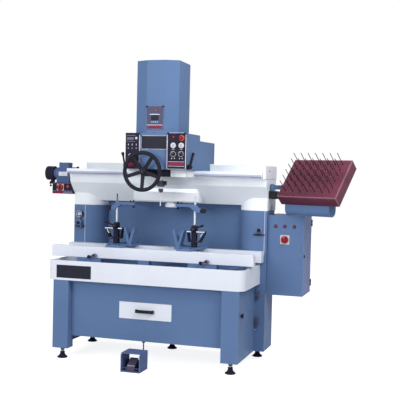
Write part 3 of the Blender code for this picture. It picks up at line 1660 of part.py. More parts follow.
def bracket_outline():
    """Section of the bracket between the tray's back and the swivel arm."""
    front = TRAY_BOX_FRONT + TRAY_BOX_DEPTH - TRAY_BOX_WALL / 2
    front_top = board_underside(front) - TRAY_BOX_WALL / 2
    edge = front + (BRACKET_PLATE_TOP - front_top) / math.tan(BOARD_TILT)
    return [
        (front, front_top),
        (front, BRACKET_BOTTOM),
        (BRACKET_BACK, BRACKET_BOTTOM),
        (BRACKET_BACK, BRACKET_PLATE_TOP),
        (edge, BRACKET_PLATE_TOP),
    ]


def bent_strip(start, knee, end, width):
    """Plan of a flat bar of one width with one bend."""
    first = (knee - start).normalized()
    second = (end - knee).normalized()
    side = Vector((-first.y, first.x)) * width / 2
    other = Vector((-second.y, second.x)) * width / 2
    mitre = (side + other) / (1 + first.dot(second))
    return [start - side, knee - mitre, end - other, end + other, knee + mitre, start + side]


def build_tool_tray():
    """Tool tray under the board, welded to the arm that swivels on the post."""
    pivot = (POST_X, POST_Y, ARM_BOTTOM)
    turn = Matrix.Translation((BOARD_X, BOARD_Y, 0)) @ Matrix.Rotation(BOARD_YAW, 4, "Z")
    left = TRAY_BOX_X - TRAY_BOX_WIDTH / 2
    right = TRAY_BOX_X + TRAY_BOX_WIDTH / 2
    body = extruded(tray_box_outline(0), left, right, "YZ")
    body.transform(turn)
    tray = add_part("tool_tray", body, "blue_paint", pivot)
    room = extruded(
        tray_box_outline(TRAY_BOX_WALL), left + TRAY_BOX_WALL, right - TRAY_BOX_WALL, "YZ"
    )
    room.transform(turn)
    cut(tray, room)
    bracket_left = left + TRAY_BOX_WALL * 2
    bracket = extruded(bracket_outline(), bracket_left, bracket_left + BRACKET_PLATE, "YZ")
    bracket.transform(turn)
    depth = BRACKET_BACK - ARM_WIDTH / 2 - TRAY_BOX_WALL
    knee = turn @ Vector((-BOARD_WIDTH / 2 - ARM_WIDTH / 2 - ARM_PLAY, depth, 0))
    anchor = turn @ Vector((left + BRACKET_PLATE / 2, depth, 0))
    plan = bent_strip(Vector((POST_X, POST_Y)), knee.xy, anchor.xy, ARM_WIDTH)
    arm = extruded(plan, ARM_BOTTOM + TRAY_BOX_WALL / 4, ARM_TOP - TRAY_BOX_WALL / 4, "XY")
    hub = cylinder((POST_X, POST_Y, ARM_BOTTOM), (POST_X, POST_Y, ARM_TOP), ARM_HUB)
    join(tray, bracket, arm, hub)
    bore = cylinder(
        (POST_X, POST_Y, ARM_BOTTOM - SHEET),
        (POST_X, POST_Y, ARM_TOP + SHEET),
        POST_RADIUS + RUNNING,
    )
    cut(tray, bore)
    block = add_part(
        "swivel_post",
        box(
            (BEAM_HALF + GAP, POST_Y - CLAMP_BLOCK_DEPTH / 2, CLAMP_BLOCK_BOTTOM),
            (
                BEAM_HALF + GAP + CLAMP_BLOCK_REACH,
                POST_Y + CLAMP_BLOCK_DEPTH / 2,
                CLAMP_BLOCK_TOP,
            ),
        ),
        "black_plastic",
    )
    join(
        block,
        cylinder(
            (POST_X, POST_Y, CLAMP_BLOCK_TOP - SHEET),
            (POST_X, POST_Y, ARM_TOP + POST_CAP_HEIGHT / 2),
            POST_RADIUS,
        ),
        cylinder(
            (POST_X, POST_Y, ARM_TOP + GAP),
            (POST_X, POST_Y, ARM_TOP + POST_CAP_HEIGHT),
            COLLAR_RADIUS,
        ),
        cylinder(
            (POST_X, POST_Y, CLAMP_BLOCK_TOP - SHEET),
            (POST_X, POST_Y, ARM_BOTTOM - GAP),
            COLLAR_RADIUS,
        ),
    )


# Tool grinder


def build_grinder():
    """Tool grinder on its switch box, bolted to the beam's left end."""
    right = -BEAM_HALF - GAP
    left = right - SWITCH_BOX_LENGTH
    add_part(
        "grinder_switch_box",
        box(
            (left, SWITCH_BOX_FRONT, SWITCH_BOX_BOTTOM),
            (right, SWITCH_BOX_FRONT + SWITCH_BOX_DEPTH, SWITCH_BOX_TOP),
        ),
        "black_plastic",
    )
    profile = [
        (0, GRINDER_LENGTH),
        (GRINDER_RADIUS, GRINDER_LENGTH),
        (GRINDER_RADIUS, GRINDER_BELL_LENGTH),
        (GRINDER_BELL, 0),
        (0, 0),
    ]
    bell_end = (GRINDER_LEFT, GRINDER_Y, GRINDER_Z)
    motor = add_part(
        "grinder_motor", turned(profile, bell_end, axis="X"), "blue_paint", smooth=True
    )
    body_left = GRINDER_LEFT + GRINDER_BELL_LENGTH
    middle = (body_left + GRINDER_RIGHT) / 2
    foot = box(
        (body_left - GRINDER_FOOT_INSET, GRINDER_Y - GRINDER_FOOT / 2, SWITCH_BOX_TOP + GAP),
        (GRINDER_RIGHT - GRINDER_FOOT_INSET, GRINDER_Y + GRINDER_FOOT / 2, GRINDER_Z),
    )
    terminal_front = GRINDER_Y - TERMINAL_DEPTH / 2
    lip = TERMINAL_TOP - TERMINAL_LIP
    terminal = extruded(
        [
            (middle - TERMINAL_NECK / 2, GRINDER_Z),
            (middle + TERMINAL_NECK / 2, GRINDER_Z),
            (middle + TERMINAL_LENGTH / 2, lip),
            (middle + TERMINAL_LENGTH / 2, TERMINAL_TOP),
            (middle - TERMINAL_LENGTH / 2, TERMINAL_TOP),
            (middle - TERMINAL_LENGTH / 2, lip),
        ],
        terminal_front,
        terminal_front + TERMINAL_DEPTH,
        "XZ",
    )
    join(motor, foot, terminal)
    guard_right = GRINDER_LEFT - GAP
    guard_left = guard_right - GUARD_LENGTH
    guard = add_part(
        "grinder_guard",
        cylinder(
            (guard_left, GRINDER_Y, GRINDER_Z), (guard_right, GRINDER_Y, GRINDER_Z), GUARD_RADIUS
        ),
        "black_plastic",
        smooth=True,
    )
    room = cylinder(
        (guard_left - GUARD_WALL, GRINDER_Y, GRINDER_Z),
        (guard_right - GUARD_WALL, GRINDER_Y, GRINDER_Z),
        GUARD_RADIUS - GUARD_WALL,
    )
    shaft_hole = cylinder(
        (guard_left, GRINDER_Y, GRINDER_Z),
        (guard_right + GUARD_WALL, GRINDER_Y, GRINDER_Z),
        WHEEL_SHAFT + RUNNING,
        COARSE,
    )
    cut(guard, room, shaft_hole)
    boss = GUARD_WALL + RUNNING
    stone = boss + WHEEL_NECK
    end = stone + WHEEL_STONE_LENGTH
    pivot = (guard_right, GRINDER_Y, GRINDER_Z)
    profile = [
        (0, 0),
        (WHEEL_SHAFT, 0),
        (WHEEL_SHAFT, -boss),
        (WHEEL_BOSS, -boss),
        (WHEEL_BOSS, -stone),
        (WHEEL_STONE_RADIUS, -stone),
        (WHEEL_STONE_RADIUS, -end),
        (WHEEL_BOSS, -end),
        (WHEEL_BOSS, -end - WHEEL_NUT),
        (0, -end - WHEEL_NUT),
    ]
    add_part("grinding_wheel", turned(profile, pivot, axis="X"), "abrasive", pivot, True)


# Work fixtures


def cradle_outline(middle):
    """V-shaped cradle that a work piece's end rests on, in the XZ plane."""
    low = SOLE_TOP - SOLE_THICK / 2
    left = middle - CRADLE_HALF
    right = middle + CRADLE_HALF
    return [
        (middle - CRADLE_FOOT, low),
        (middle + CRADLE_FOOT, low),
        (right, CRADLE_TOP),
        (right - CRADLE_LEG, CRADLE_TOP),
        (middle, SOLE_TOP + CRADLE_NOTCH),
        (left + CRADLE_LEG, CRADLE_TOP),
        (left, CRADLE_TOP),
    ]


def yoke_outline(post_x, side, inset):
    """Outline of the open yoke round a fixture's pillar, or of its window, in the XZ plane."""
    top = YOKE_TOP - inset
    low = YOKE_BOTTOM + inset
    shoulder = YOKE_TOP - YOKE_SHOULDER
    outline = [
        (YOKE_OUT - inset, top),
        (inset - YOKE_IN, top),
        (inset - YOKE_IN, shoulder),
        (inset - YOKE_FOOT_IN, low),
        (YOKE_FOOT_OUT - inset, low),
        (YOKE_OUT - inset, shoulder),
    ]
    return [(post_x + side * x, z) for x, z in outline]


def build_fixture(side_name, side):
    """One fixture on the rails; side is -1 for the left one and 1 for the right one."""
    post_x = FIXTURE_X + side * FIXTURE_HALF

    def span(inward_a, inward_b):
        """World X limits of two distances from the post, measured towards the middle."""
        ends = (post_x - side * inward_a, post_x - side * inward_b)
        return min(ends), max(ends)

    half = YOKE_DEPTH / 2
    yoke = extruded(yoke_outline(post_x, side, 0), FIXTURE_Y - half, FIXTURE_Y + half, "XZ")
    pivot = (post_x, FIXTURE_Y, SOLE_BOTTOM)
    base = add_part("fixture_base_" + side_name, yoke, "blue_paint", pivot)
    window = extruded(
        yoke_outline(post_x, side, YOKE_BAR),
        FIXTURE_Y - YOKE_DEPTH,
        FIXTURE_Y + YOKE_DEPTH,
        "XZ",
    )
    cut(base, window)
    half = PILLAR_DEPTH / 2
    pillar_front = FIXTURE_Y - half
    low, high = span(-PILLAR_WIDTH / 2, PILLAR_WIDTH / 2)
    pillar = box(
        (low, pillar_front, SOLE_TOP - SOLE_THICK / 2), (high, FIXTURE_Y + half, PILLAR_TOP)
    )
    low, high = span(-SOLE_OUT, SOLE_IN)
    sole = box((low, SOLE_FRONT, SOLE_BOTTOM), (high, SOLE_BACK, SOLE_TOP))
    half = CRADLE_DEPTH / 2
    middle = post_x - side * CRADLE_MIDDLE
    cradle = extruded(cradle_outline(middle), FIXTURE_Y - half, FIXTURE_Y + half, "XZ")
    post = cylinder(
        (post_x, FIXTURE_Y, PILLAR_TOP - SHEET),
        (post_x, FIXTURE_Y, FIXTURE_POST_TOP),
        FIXTURE_POST_RADIUS,
        COARSE,
    )
    join(base, pillar, sole, cradle, post)
    build_clamp_arm(side_name, side, post_x)
    face = pillar_front - GAP
    pivot = (post_x, face, FIXTURE_LEVER_Z)
    out = face - LEVER_HUB_LENGTH
    middle = face - LEVER_STANDOFF
    tip = (post_x + side * FIXTURE_LEVER_RUN, middle, FIXTURE_LEVER_Z + FIXTURE_LEVER_RISE)
    lever = add_part(
        "fixture_lever_" + side_name,
        cylinder(pivot, (post_x, out, FIXTURE_LEVER_Z), LEVER_HUB, COARSE),
        "black_plastic",
        pivot,
        True,
    )
    join(
        lever,
        cylinder((post_x, middle, FIXTURE_LEVER_Z), tip, LEVER_ROD, ROD_SIDES),
        ball(tip, FIXTURE_BALL),
    )


def build_clamp_arm(side_name, side, post_x):
    """Bent clamp strap that slides on the fixture's post, with its knob and its jaw screw."""
    half = STRAP_THICK / 2
    out_half = STRAP_OUT_THICK / 2
    outer = post_x + side * STRAP_OUT
    bend = post_x - side * STRAP_BEND
    inner = post_x - side * STRAP_REACH
    outline = [
        (outer, STRAP_OUT_Z - out_half),
        (bend, STRAP_Z - half),
        (inner, STRAP_Z - half),
        (inner, STRAP_Z + half),
        (bend, STRAP_Z + half),
        (outer, STRAP_OUT_Z + out_half),
    ]
    low = FIXTURE_Y - STRAP_WIDTH / 2
    arm = add_part(
        "clamp_arm_" + side_name,
        extruded(outline, low, low + STRAP_WIDTH, "XZ"),
        "blue_paint",
        (post_x, FIXTURE_Y, STRAP_Z),
    )
    knob_x = post_x + side * STRAP_KNOB_OUT
    knob_front = FIXTURE_Y - STRAP_KNOB_HEIGHT / 2
    jaw_x = inner + side * JAW_INSET
    bolt_x = inner + side * BOLT_INSET
    stud = cylinder(
        (outer - side * half, FIXTURE_Y, STRAP_OUT_Z),
        (knob_x, FIXTURE_Y, STRAP_OUT_Z),
        STRAP_STUD,
        COARSE,
    )
    knob = cylinder(
        (knob_x, knob_front, STRAP_OUT_Z),
        (knob_x, knob_front + STRAP_KNOB_HEIGHT, STRAP_OUT_Z),
        STRAP_KNOB,
        COARSE,
    )
    jaw = cylinder(
        (jaw_x, FIXTURE_Y, STRAP_Z - half - JAW_LENGTH / 2),
        (jaw_x, FIXTURE_Y, STRAP_Z + half + JAW_LENGTH / 2),
        JAW_RADIUS,
        COARSE,
    )
    bolt = cylinder(
        (bolt_x, FIXTURE_Y, STRAP_Z),
        (bolt_x, FIXTURE_Y, STRAP_Z + half + BOLT_RISE),
        BOLT_RADIUS,
        COARSE,
    )
    join(arm, stud, knob, jaw, bolt)
    bore = cylinder(
        (post_x, FIXTURE_Y, STRAP_OUT_Z - STRAP_OUT_THICK * 2),
        (post_x, FIXTURE_Y, STRAP_Z + STRAP_OUT_THICK * 2),
        FIXTURE_POST_RADIUS + RUNNING,
        COARSE,
    )
    cut(arm, bore)


# Foot switch and its cable


def build_pedal():
    left = PEDAL_X - PEDAL_WIDTH / 2
    right = PEDAL_X + PEDAL_WIDTH / 2
    profile = [
        (PEDAL_FRONT, 0),
        (PEDAL_BACK, 0),
        (PEDAL_BACK, PEDAL_HEIGHT),
        (PEDAL_FRONT + PEDAL_BEVEL, PEDAL_HEIGHT),
        (PEDAL_FRONT, PEDAL_HEIGHT - PEDAL_BEVEL),
    ]
    guard = add_part("pedal_guard", extruded(profile, left, right, "YZ"), "blue_paint")
    tunnel = box(
        (left + PEDAL_WALL, PEDAL_FRONT - PEDAL_WALL, PEDAL_WALL),
        (right - PEDAL_WALL, PEDAL_BACK - PEDAL_WALL, PEDAL_HEIGHT - PEDAL_WALL),
    )
    window = box(
        (left + PEDAL_WALL, PEDAL_BACK - PEDAL_WALL * 2, PEDAL_SILL),
        (right - PEDAL_WALL, PEDAL_BACK + PEDAL_WALL, PEDAL_HEIGHT - PEDAL_WALL),
    )
    cut(guard, tunnel, window)
    gland_x = CABLE_ROUTE[0][0]
    join(
        guard,
        cylinder(
            (gland_x, PEDAL_BACK - PEDAL_WALL / 2, PEDAL_GLAND_Z),
            (gland_x, PEDAL_BACK + PEDAL_GLAND_LENGTH, PEDAL_GLAND_Z),
            PEDAL_GLAND_RADIUS,
            COARSE,
            PEDAL_GLAND_TIP,
        ),
    )
    pivot = (PEDAL_X, PEDAL_FRONT + TREADLE_PIVOT_IN, TREADLE_PIVOT_Z)
    left = PEDAL_X - TREADLE_SHIFT - TREADLE_WIDTH / 2
    toe = pivot[1] - TREADLE_TOE
    heel = toe + TREADLE_LENGTH
    low = TREADLE_PIVOT_Z - TREADLE_FRONT / 2
    top = low + TREADLE_FRONT
    profile = [
        (toe, low),
        (pivot[1], low),
        (heel, top + TREADLE_RISE - TREADLE_BACK),
        (heel, top + TREADLE_RISE),
        (toe, top),
    ]
    plate = extruded(profile, left, left + TREADLE_WIDTH, "YZ")
    treadle = add_part("pedal_treadle", plate, "black_plastic", pivot)
    reach = PEDAL_WIDTH / 2 - PEDAL_WALL - GAP
    join(
        treadle,
        cylinder(
            (PEDAL_X - reach, pivot[1], TREADLE_PIVOT_Z),
            (PEDAL_X + reach, pivot[1], TREADLE_PIVOT_Z),
            TREADLE_PIN,
            COARSE,
        ),
    )


def smooth_route(route, step):
    """Points about a step apart on a Catmull-Rom curve through a route's own points."""
    knots = [Vector(point) for point in route]
    knots = [2 * knots[0] - knots[1], *knots, 2 * knots[-1] - knots[-2]]
    points = []
    for before, start, end, after in zip(knots, knots[1:], knots[2:], knots[3:]):
        count = max(1, round((end - start).length / step))
        for i in range(count):
            t = i / count
            points.append(
                (
                    2 * start
                    + (end - before) * t
                    + (2 * before - 5 * start + 4 * end - after) * t**2
                    + (3 * start - before - 3 * end + after) * t**3
                )
                / 2
            )
    points.append(knots[-2])
    return points


def build_pedal_cable():
    points = smooth_route(CABLE_ROUTE, CABLE_STEP)
    add_part("pedal_cable", tube(points, CABLE_RADIUS, CABLE_SIDES), "cable_rubber", smooth=True)


# Air service unit


def build_air_unit():
    """Pressure gauge over a regulator and its manifold on the left tower's front."""
    back = BODY_FRONT - GAP
    face = back - AIR_DEPTH
    half = AIR_BLOCK_WIDTH / 2
    unit = add_part(
        "air_unit",
        box((AIR_X - half, face, AIR_BLOCK_BOTTOM), (AIR_X + half, back, AIR_BLOCK_TOP)),
        "black_plastic",
    )
    middle = (face + back) / 2
    half = MANIFOLD_WIDTH / 2
    low = AIR_BLOCK_BOTTOM + MANIFOLD_UP
    rear = back - RUNNING
    manifold = box(
        (AIR_X - half, rear - MANIFOLD_DEPTH, low), (AIR_X + half, rear, low + MANIFOLD_HEIGHT)
    )
    gauge = cylinder((AIR_X, back, GAUGE_Z), (AIR_X, face, GAUGE_Z), GAUGE_RADIUS)
    pipe = cylinder(
        (AIR_X, middle, AIR_BLOCK_TOP - SHEET), (AIR_X, middle, GAUGE_Z), AIR_PIPE_RADIUS, COARSE
    )
    join(unit, manifold, gauge, pipe)


def build_machine():
    build_feet()
    build_base_cabinet()
    build_front_panel()
    build_drawer()
    build_chip_tray()
    build_bed()
    build_rail_clamps()
    build_rear_body()
    build_beam()
    build_work_light()
    build_head_cover()
    build_column_cover()
    build_head_casting()
    build_quill()
    build_spindle()
    build_tool_holder()
    build_spindle_motor()
    build_feed()
    build_head_levers()
    build_right_panel()
    build_panel_buttons()
    build_knobs()
    build_cabinet()
    build_tool_board()
    build_tool_tray()
    build_grinder()
    build_fixture("left", -1)
    build_fixture("right", 1)
    build_pedal()
    build_pedal_cable()
    build_air_unit()


clear_scene()
parts = new_collection("valve_seat_machine")
cutters = new_collection("cutters")
machine = bpy.data.objects.new("machine", None)
machine.location = (-FOOTPRINT_X, -FOOTPRINT_Y, 0)
parts.objects.link(machine)
build_machine()
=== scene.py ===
"""Looks of the valve seat machine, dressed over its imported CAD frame."""

import json
import math

import bmesh
import bpy
from bpy.props import FloatProperty, FloatVectorProperty, PointerProperty
from mathutils import Matrix, Vector

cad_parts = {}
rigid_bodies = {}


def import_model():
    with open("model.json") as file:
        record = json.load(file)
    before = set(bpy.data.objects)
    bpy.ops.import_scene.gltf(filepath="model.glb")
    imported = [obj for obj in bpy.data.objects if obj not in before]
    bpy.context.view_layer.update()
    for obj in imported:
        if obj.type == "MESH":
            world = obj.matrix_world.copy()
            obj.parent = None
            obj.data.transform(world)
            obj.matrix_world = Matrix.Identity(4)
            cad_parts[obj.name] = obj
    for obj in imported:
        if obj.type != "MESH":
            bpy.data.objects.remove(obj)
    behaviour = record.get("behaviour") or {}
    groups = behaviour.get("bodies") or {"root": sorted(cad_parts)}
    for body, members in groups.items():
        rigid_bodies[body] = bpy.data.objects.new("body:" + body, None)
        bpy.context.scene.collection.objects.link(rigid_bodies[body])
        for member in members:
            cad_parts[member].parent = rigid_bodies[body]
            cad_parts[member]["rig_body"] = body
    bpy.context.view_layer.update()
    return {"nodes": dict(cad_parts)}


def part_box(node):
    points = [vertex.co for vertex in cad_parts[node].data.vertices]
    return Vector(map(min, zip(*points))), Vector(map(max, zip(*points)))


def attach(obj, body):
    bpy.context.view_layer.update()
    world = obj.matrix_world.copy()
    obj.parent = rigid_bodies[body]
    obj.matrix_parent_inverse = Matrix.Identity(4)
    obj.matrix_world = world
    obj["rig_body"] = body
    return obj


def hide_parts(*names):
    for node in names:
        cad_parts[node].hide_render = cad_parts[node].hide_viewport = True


bl_info = {
    "name": "Valve Seat Machine Looks",
    "version": (1, 0, 0),
    "blender": (4, 5, 0),
    "location": "3D View > Sidebar > Machine",
    "description": "Dresses the packed frame of a valve seat machine with its finished pieces",
    "category": "Object",
}

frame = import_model()

# The machine's own origin: its middle, the tray's front and the floor
BASE_LOW, BASE_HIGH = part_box("base_cabinet")
ORIGIN = Vector(((BASE_LOW.x + BASE_HIGH.x) / 2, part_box("chip_tray")[0].y, 0))

UP = Vector((0, 0, 1))
FRONT = Vector((0, -1, 0))
RIGHT = Vector((1, 0, 0))
FULL_TURN = 2 * math.pi
SMOOTH_ANGLE = math.radians(35)  # shading breaks at sharper folds
FOLD_ANGLE = math.radians(12)  # the same for large sheets with shallow folds
HARD_ANGLE = math.radians(30)  # sharper edges are rounded
FLAT_ANGLE = math.radians(1)  # flatter joints are dissolved
WELD = 0.00001
SMALL_EDGE = 0.0015  # rounding of small shapes


def extent(node):
    """Lowest and highest corner of a CAD node in the machine's own coordinates."""
    low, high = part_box(node)
    return low - ORIGIN, high - ORIGIN


def centre_of(node):
    """Middle of a CAD node's box in the machine's own coordinates."""
    return [(start + end) / 2 for start, end in zip(*extent(node))]


def srgb(red, green, blue):
    """Linear colour of an 8-bit display colour."""

    def linear(level):
        level /= 255
        return level / 12.92 if level <= 0.04045 else ((level + 0.055) / 1.055) ** 2.4

    return linear(red), linear(green), linear(blue)


# Settings


def paint(name, description, *display):
    """Colour property from an 8-bit display colour."""
    return FloatVectorProperty(
        name=name, description=description, subtype="COLOR", min=0, max=1, default=srgb(*display)
    )


def length(name, description, default):
    """Length property in metres."""
    return FloatProperty(
        name=name, description=description, unit="LENGTH", min=0, precision=5, default=default
    )


def angle(name, description, degrees):
    """Angle property from degrees."""
    return FloatProperty(
        name=name, description=description, subtype="ANGLE", default=math.radians(degrees)
    )


def power(name, description, default):
    """Lamp power property in watts."""
    return FloatProperty(
        name=name, description=description, subtype="POWER", min=0, default=default
    )


class MachinePaints(bpy.types.PropertyGroup):
    """Colours of the machine's finishes"""

    blue: paint("Blue enamel", "Paint of the sheet metal and castings", 98, 124, 165)
    # The door's paler blue is a painted lighter tone for the cabinet's lit right side; the
    # readout's frame shares it
    pale_blue: paint("Pale blue enamel", "Paint of the cabinet's door", 120, 138, 184)
    deep_blue: paint("Deep blue enamel", "Paint of the grinder's motor", 84, 103, 144)
    guard_blue: paint("Guard enamel", "Paint of the foot switch's guard", 92, 108, 152)
    # Pale tone that paints the highlight on the towers' fold beads and the shade band on the
    # slideway's front
    bead: paint("Pale bead", "Beads along the towers' folds", 186, 192, 220)
    # The beam's white is the pale enamel made brighter: a painted lighter tone for the light on the
    # beam and its parts
    white: paint("White enamel", "Paint of the beam and its caps", 244, 249, 255)
    pale: paint("Pale enamel", "Paint of the rails, the tray and the drawer", 229, 234, 245)
    black: paint("Black plastic", "Knobs, grips and housings", 30, 29, 40)
    soot: paint("Black enamel", "Painted dark castings", 42, 40, 56)
    film: paint("Panel film", "Faces of the control panels", 36, 32, 50)
    slate: paint("Slate film", "Face of the column's readout", 82, 84, 110)
    tread: paint("Tread rubber", "Treadle of the foot switch", 86, 80, 102)
    grey: paint("Grey plastic", "Paler fields of the panels and clamp hubs", 112, 108, 138)
    plate: paint("Bare plate", "Plates with nothing on them", 36, 36, 50)
    steel: paint("Bright steel", "Ground and turned steel", 212, 214, 222)
    frame_metal: paint("Panel frame", "Bright frames of the panels", 186, 188, 208)
    gunmetal: paint("Dark steel", "Blackened steel", 66, 64, 78)
    red: paint("Red plastic", "Stop button and switches", 142, 34, 46)
    lamp_red: paint("Lamp red", "Lenses of the cabinet's lamps", 150, 38, 66)
    dull_red: paint("Dull red film", "Printed bands", 138, 40, 62)
    orange: paint("Orange ring", "Ring behind the stop button", 214, 116, 78)
    cream: paint("Cream plate", "Plates behind the red switches", 214, 198, 190)
    ivory: paint("White plastic", "Buttons and small marks", 216, 216, 228)
    lamp_blue: paint("Blue lamp", "Small indicator lamps", 140, 168, 206)
    wood: paint("Varnished wood", "Tool board", 102, 50, 68)
    # Pale tone of the strips along the tool board's edges: a painted highlight
    worn_wood: paint("Worn wood", "Rubbed edges of the tool board", 146, 96, 112)
    stone: paint("Grinding wheel", "Abrasive of the small wheel", 150, 164, 156)
    rubber: paint("Cable rubber", "Foot switch's cable", 28, 28, 32)
    # Also the tone of the glowing strip on the work light's hood, a painted highlight
    lens: paint("Lamp lens", "Frosted lens of the work light", 226, 232, 240)


class MachineEdges(bpy.types.PropertyGroup):
    """Sizes of the small forms that the CAD frame leaves square"""

    sheet: length("Sheet edge", "Rounding of folded sheet metal", 0.003)
    thin: length("Thin edge", "Rounding of thin sheet and small housings", 0.0016)
    slab: length("Slab edge", "Rounding of the ground slabs", 0.003)
    casting: length("Casting edge", "Rounding of the beam's corners", 0.004)
    column: length("Column edge", "Rounding of the column cover's corners", 0.002)
    screw: length("Screw radius", "Head radius of small screws", 0.004)
    frame: length("Panel frame", "Width of the panels' bright frames", 0.0028)


class MachineStage(bpy.types.PropertyGroup):
    """Camera, lamps and floor"""

    lens: FloatProperty(
        name="Lens",
        description="Focal length on a 36 mm sensor",
        subtype="DISTANCE_CAMERA",
        default=72.75,
    )
    eye: FloatVectorProperty(
        name="Eye",
        description="Camera's place in the machine's own coordinates",
        subtype="TRANSLATION",
        default=(2.0023, -5.1212, 1.3135),
    )
    yaw: angle("Yaw", "Camera's turn to the left", 17.43)
    pitch: angle("Pitch", "Camera's tilt downwards", 1.722)
    roll: angle("Roll", "Camera's turn about its own axis", 1.367)
    key: power("Key lamp", "Large soft lamp at the front left", 202)
    fill: power("Fill lamp", "Soft lamp at the right", 78)
    top: power("Top lamp", "Soft lamp overhead", 10)
    sky: FloatProperty(name="Sky", description="Strength of the light all round", default=0.35)
    floor: length("Floor", "Half width of the floor", 14.0)


# Shader node groups

# Paler tones of the edges: partly wear, partly a painted highlight along them
WEAR_AND_HIGHLIGHT_ENAMEL = (0.78, 0.80, 0.84, 1)
WEAR_AND_HIGHLIGHT_PLASTIC = (0.30, 0.30, 0.33, 1)
WEAR_AND_HIGHLIGHT_TIMBER = (0.52, 0.36, 0.38, 1)
NOISE_RANGE = (0.3, 0.7)  # where most of a noise's values lie
EDGE_COSINES = (0.985, 0.86)  # bend of the normal where an edge starts and is full


class Net:
    """Nodes and links of one tree."""

    def __init__(self, tree):
        self.tree = tree

    def node(self, kind, **settings):
        node = self.tree.nodes.new(kind)
        for name, value in settings.items():
            setattr(node, name, value)
        return node

    def feed(self, socket, value):
        """Link an output to a socket, or set a plain value on it."""
        if isinstance(value, bpy.types.NodeSocket):
            self.tree.links.new(value, socket)
        else:
            socket.default_value = value

    def math(self, operation, first, second=0.0):
        node = self.node("ShaderNodeMath", operation=operation)
        self.feed(node.inputs[0], first)
        self.feed(node.inputs[1], second)
        return node.outputs[0]

    def plus(self, first, second):
        return self.math("ADD", first, second)

    def times(self, first, second):
        return self.math("MULTIPLY", first, second)

    def noise(self, vector, scale, detail=2.0):
        node = self.node("ShaderNodeTexNoise")
        self.feed(node.inputs["Vector"], vector)
        self.feed(node.inputs["Scale"], scale)
        node.inputs["Detail"].default_value = detail
        return node.outputs[0]

    def span(self, value, low, high, to_low, to_high):
        node = self.node("ShaderNodeMapRange")
        for socket, item in zip(node.inputs, (value, low, high, to_low, to_high)):
            self.feed(socket, item)
        return node.outputs[0]

    def spread(self, noise, to_low, to_high):
        """Noise brought from its usual range to another."""
        return self.span(noise, *NOISE_RANGE, to_low, to_high)

    def scaled(self, vector, amount):
        node = self.node("ShaderNodeVectorMath", operation="SCALE")
        self.feed(node.inputs[0], vector)
        self.feed(node.inputs["Scale"], amount)
        return node.outputs[0]

    def stretched(self, vector, sizes):
        node = self.node("ShaderNodeVectorMath", operation="MULTIPLY")
        self.feed(node.inputs[0], vector)
        node.inputs[1].default_value = sizes
        return node.outputs[0]

    def blend(self, share, first, second):
        """Mix of two colours; the colour sockets share names, so they go by number."""
        node = self.node("ShaderNodeMix", data_type="RGBA")
        self.feed(node.inputs[0], share)
        self.feed(node.inputs[6], first)
        self.feed(node.inputs[7], second)
        return node.outputs[2]

    def place(self):
        return self.node("ShaderNodeTexCoord").outputs["Object"]

    def edges(self, radius):
        """Mask of the hard edges: where a rounded normal leaves the surface's own."""
        soft = self.node("ShaderNodeBevel", samples=4)
        soft.inputs["Radius"].default_value = radius
        own = self.node("ShaderNodeNewGeometry").outputs["Normal"]
        dot = self.node("ShaderNodeVectorMath", operation="DOT_PRODUCT")
        self.feed(dot.inputs[0], soft.outputs[0])
        self.feed(dot.inputs[1], own)
        return self.span(dot.outputs["Value"], *EDGE_COSINES, 0.0, 1.0)


def surface_group(name):
    """Empty surface group with the sockets that every finish uses."""
    tree = bpy.data.node_groups.new(name, "ShaderNodeTree")
    sockets = (
        ("Colour", "INPUT", "NodeSocketColor"),
        ("Roughness", "INPUT", "NodeSocketFloat"),
        ("Scale", "INPUT", "NodeSocketFloat"),
        # Wear also sets the paler edges of enamel, plastic and timber, which are partly a painted
        # highlight
        ("Wear", "INPUT", "NodeSocketFloat"),
        ("Colour", "OUTPUT", "NodeSocketColor"),
        ("Roughness", "OUTPUT", "NodeSocketFloat"),
        ("Height", "OUTPUT", "NodeSocketFloat"),
    )
    for label, way, kind in sockets:
        tree.interface.new_socket(label, in_out=way, socket_type=kind)
    net = Net(tree)
    return tree, net, net.node("NodeGroupInput").outputs, net.node("NodeGroupOutput").inputs


def enamel_group():
    """Sprayed enamel: faint clouds, orange peel, and paler edges that are partly wear and partly a
    painted highlight.
    """
    tree, net, given, out = surface_group("enamel_surface")
    place = net.place()
    cloud = net.noise(place, 2.4, 4.0)
    toned = net.scaled(given["Colour"], net.spread(cloud, 0.95, 1.05))
    rub = net.span(net.noise(place, 55.0, 4.0), 0.42, 0.62, 0.0, 1.0)
    wear_and_highlight_mask = net.times(net.times(net.edges(0.004), rub), given["Wear"])
    net.feed(out["Colour"], net.blend(wear_and_highlight_mask, toned, WEAR_AND_HIGHLIGHT_ENAMEL))
    smear = net.spread(net.noise(place, 14.0, 3.0), -0.05, 0.07)
    net.feed(out["Roughness"], net.plus(given["Roughness"], smear))
    net.feed(out["Height"], net.noise(place, given["Scale"], 1.0))
    return tree


def metal_group():
    """Turned or ground metal: fine drawn lines and stained patches."""
    tree, net, given, out = surface_group("metal_surface")
    place = net.place()
    lines = net.noise(net.stretched(place, (1.0, 1.0, 0.06)), given["Scale"], 3.0)
    stain = net.noise(place, 18.0, 4.0)
    net.feed(out["Colour"], net.scaled(given["Colour"], net.spread(stain, 0.86, 1.06)))
    worn = net.spread(lines, -0.08, 0.12)
    net.feed(out["Roughness"], net.plus(given["Roughness"], worn))
    net.feed(out["Height"], net.times(lines, given["Wear"]))
    return tree


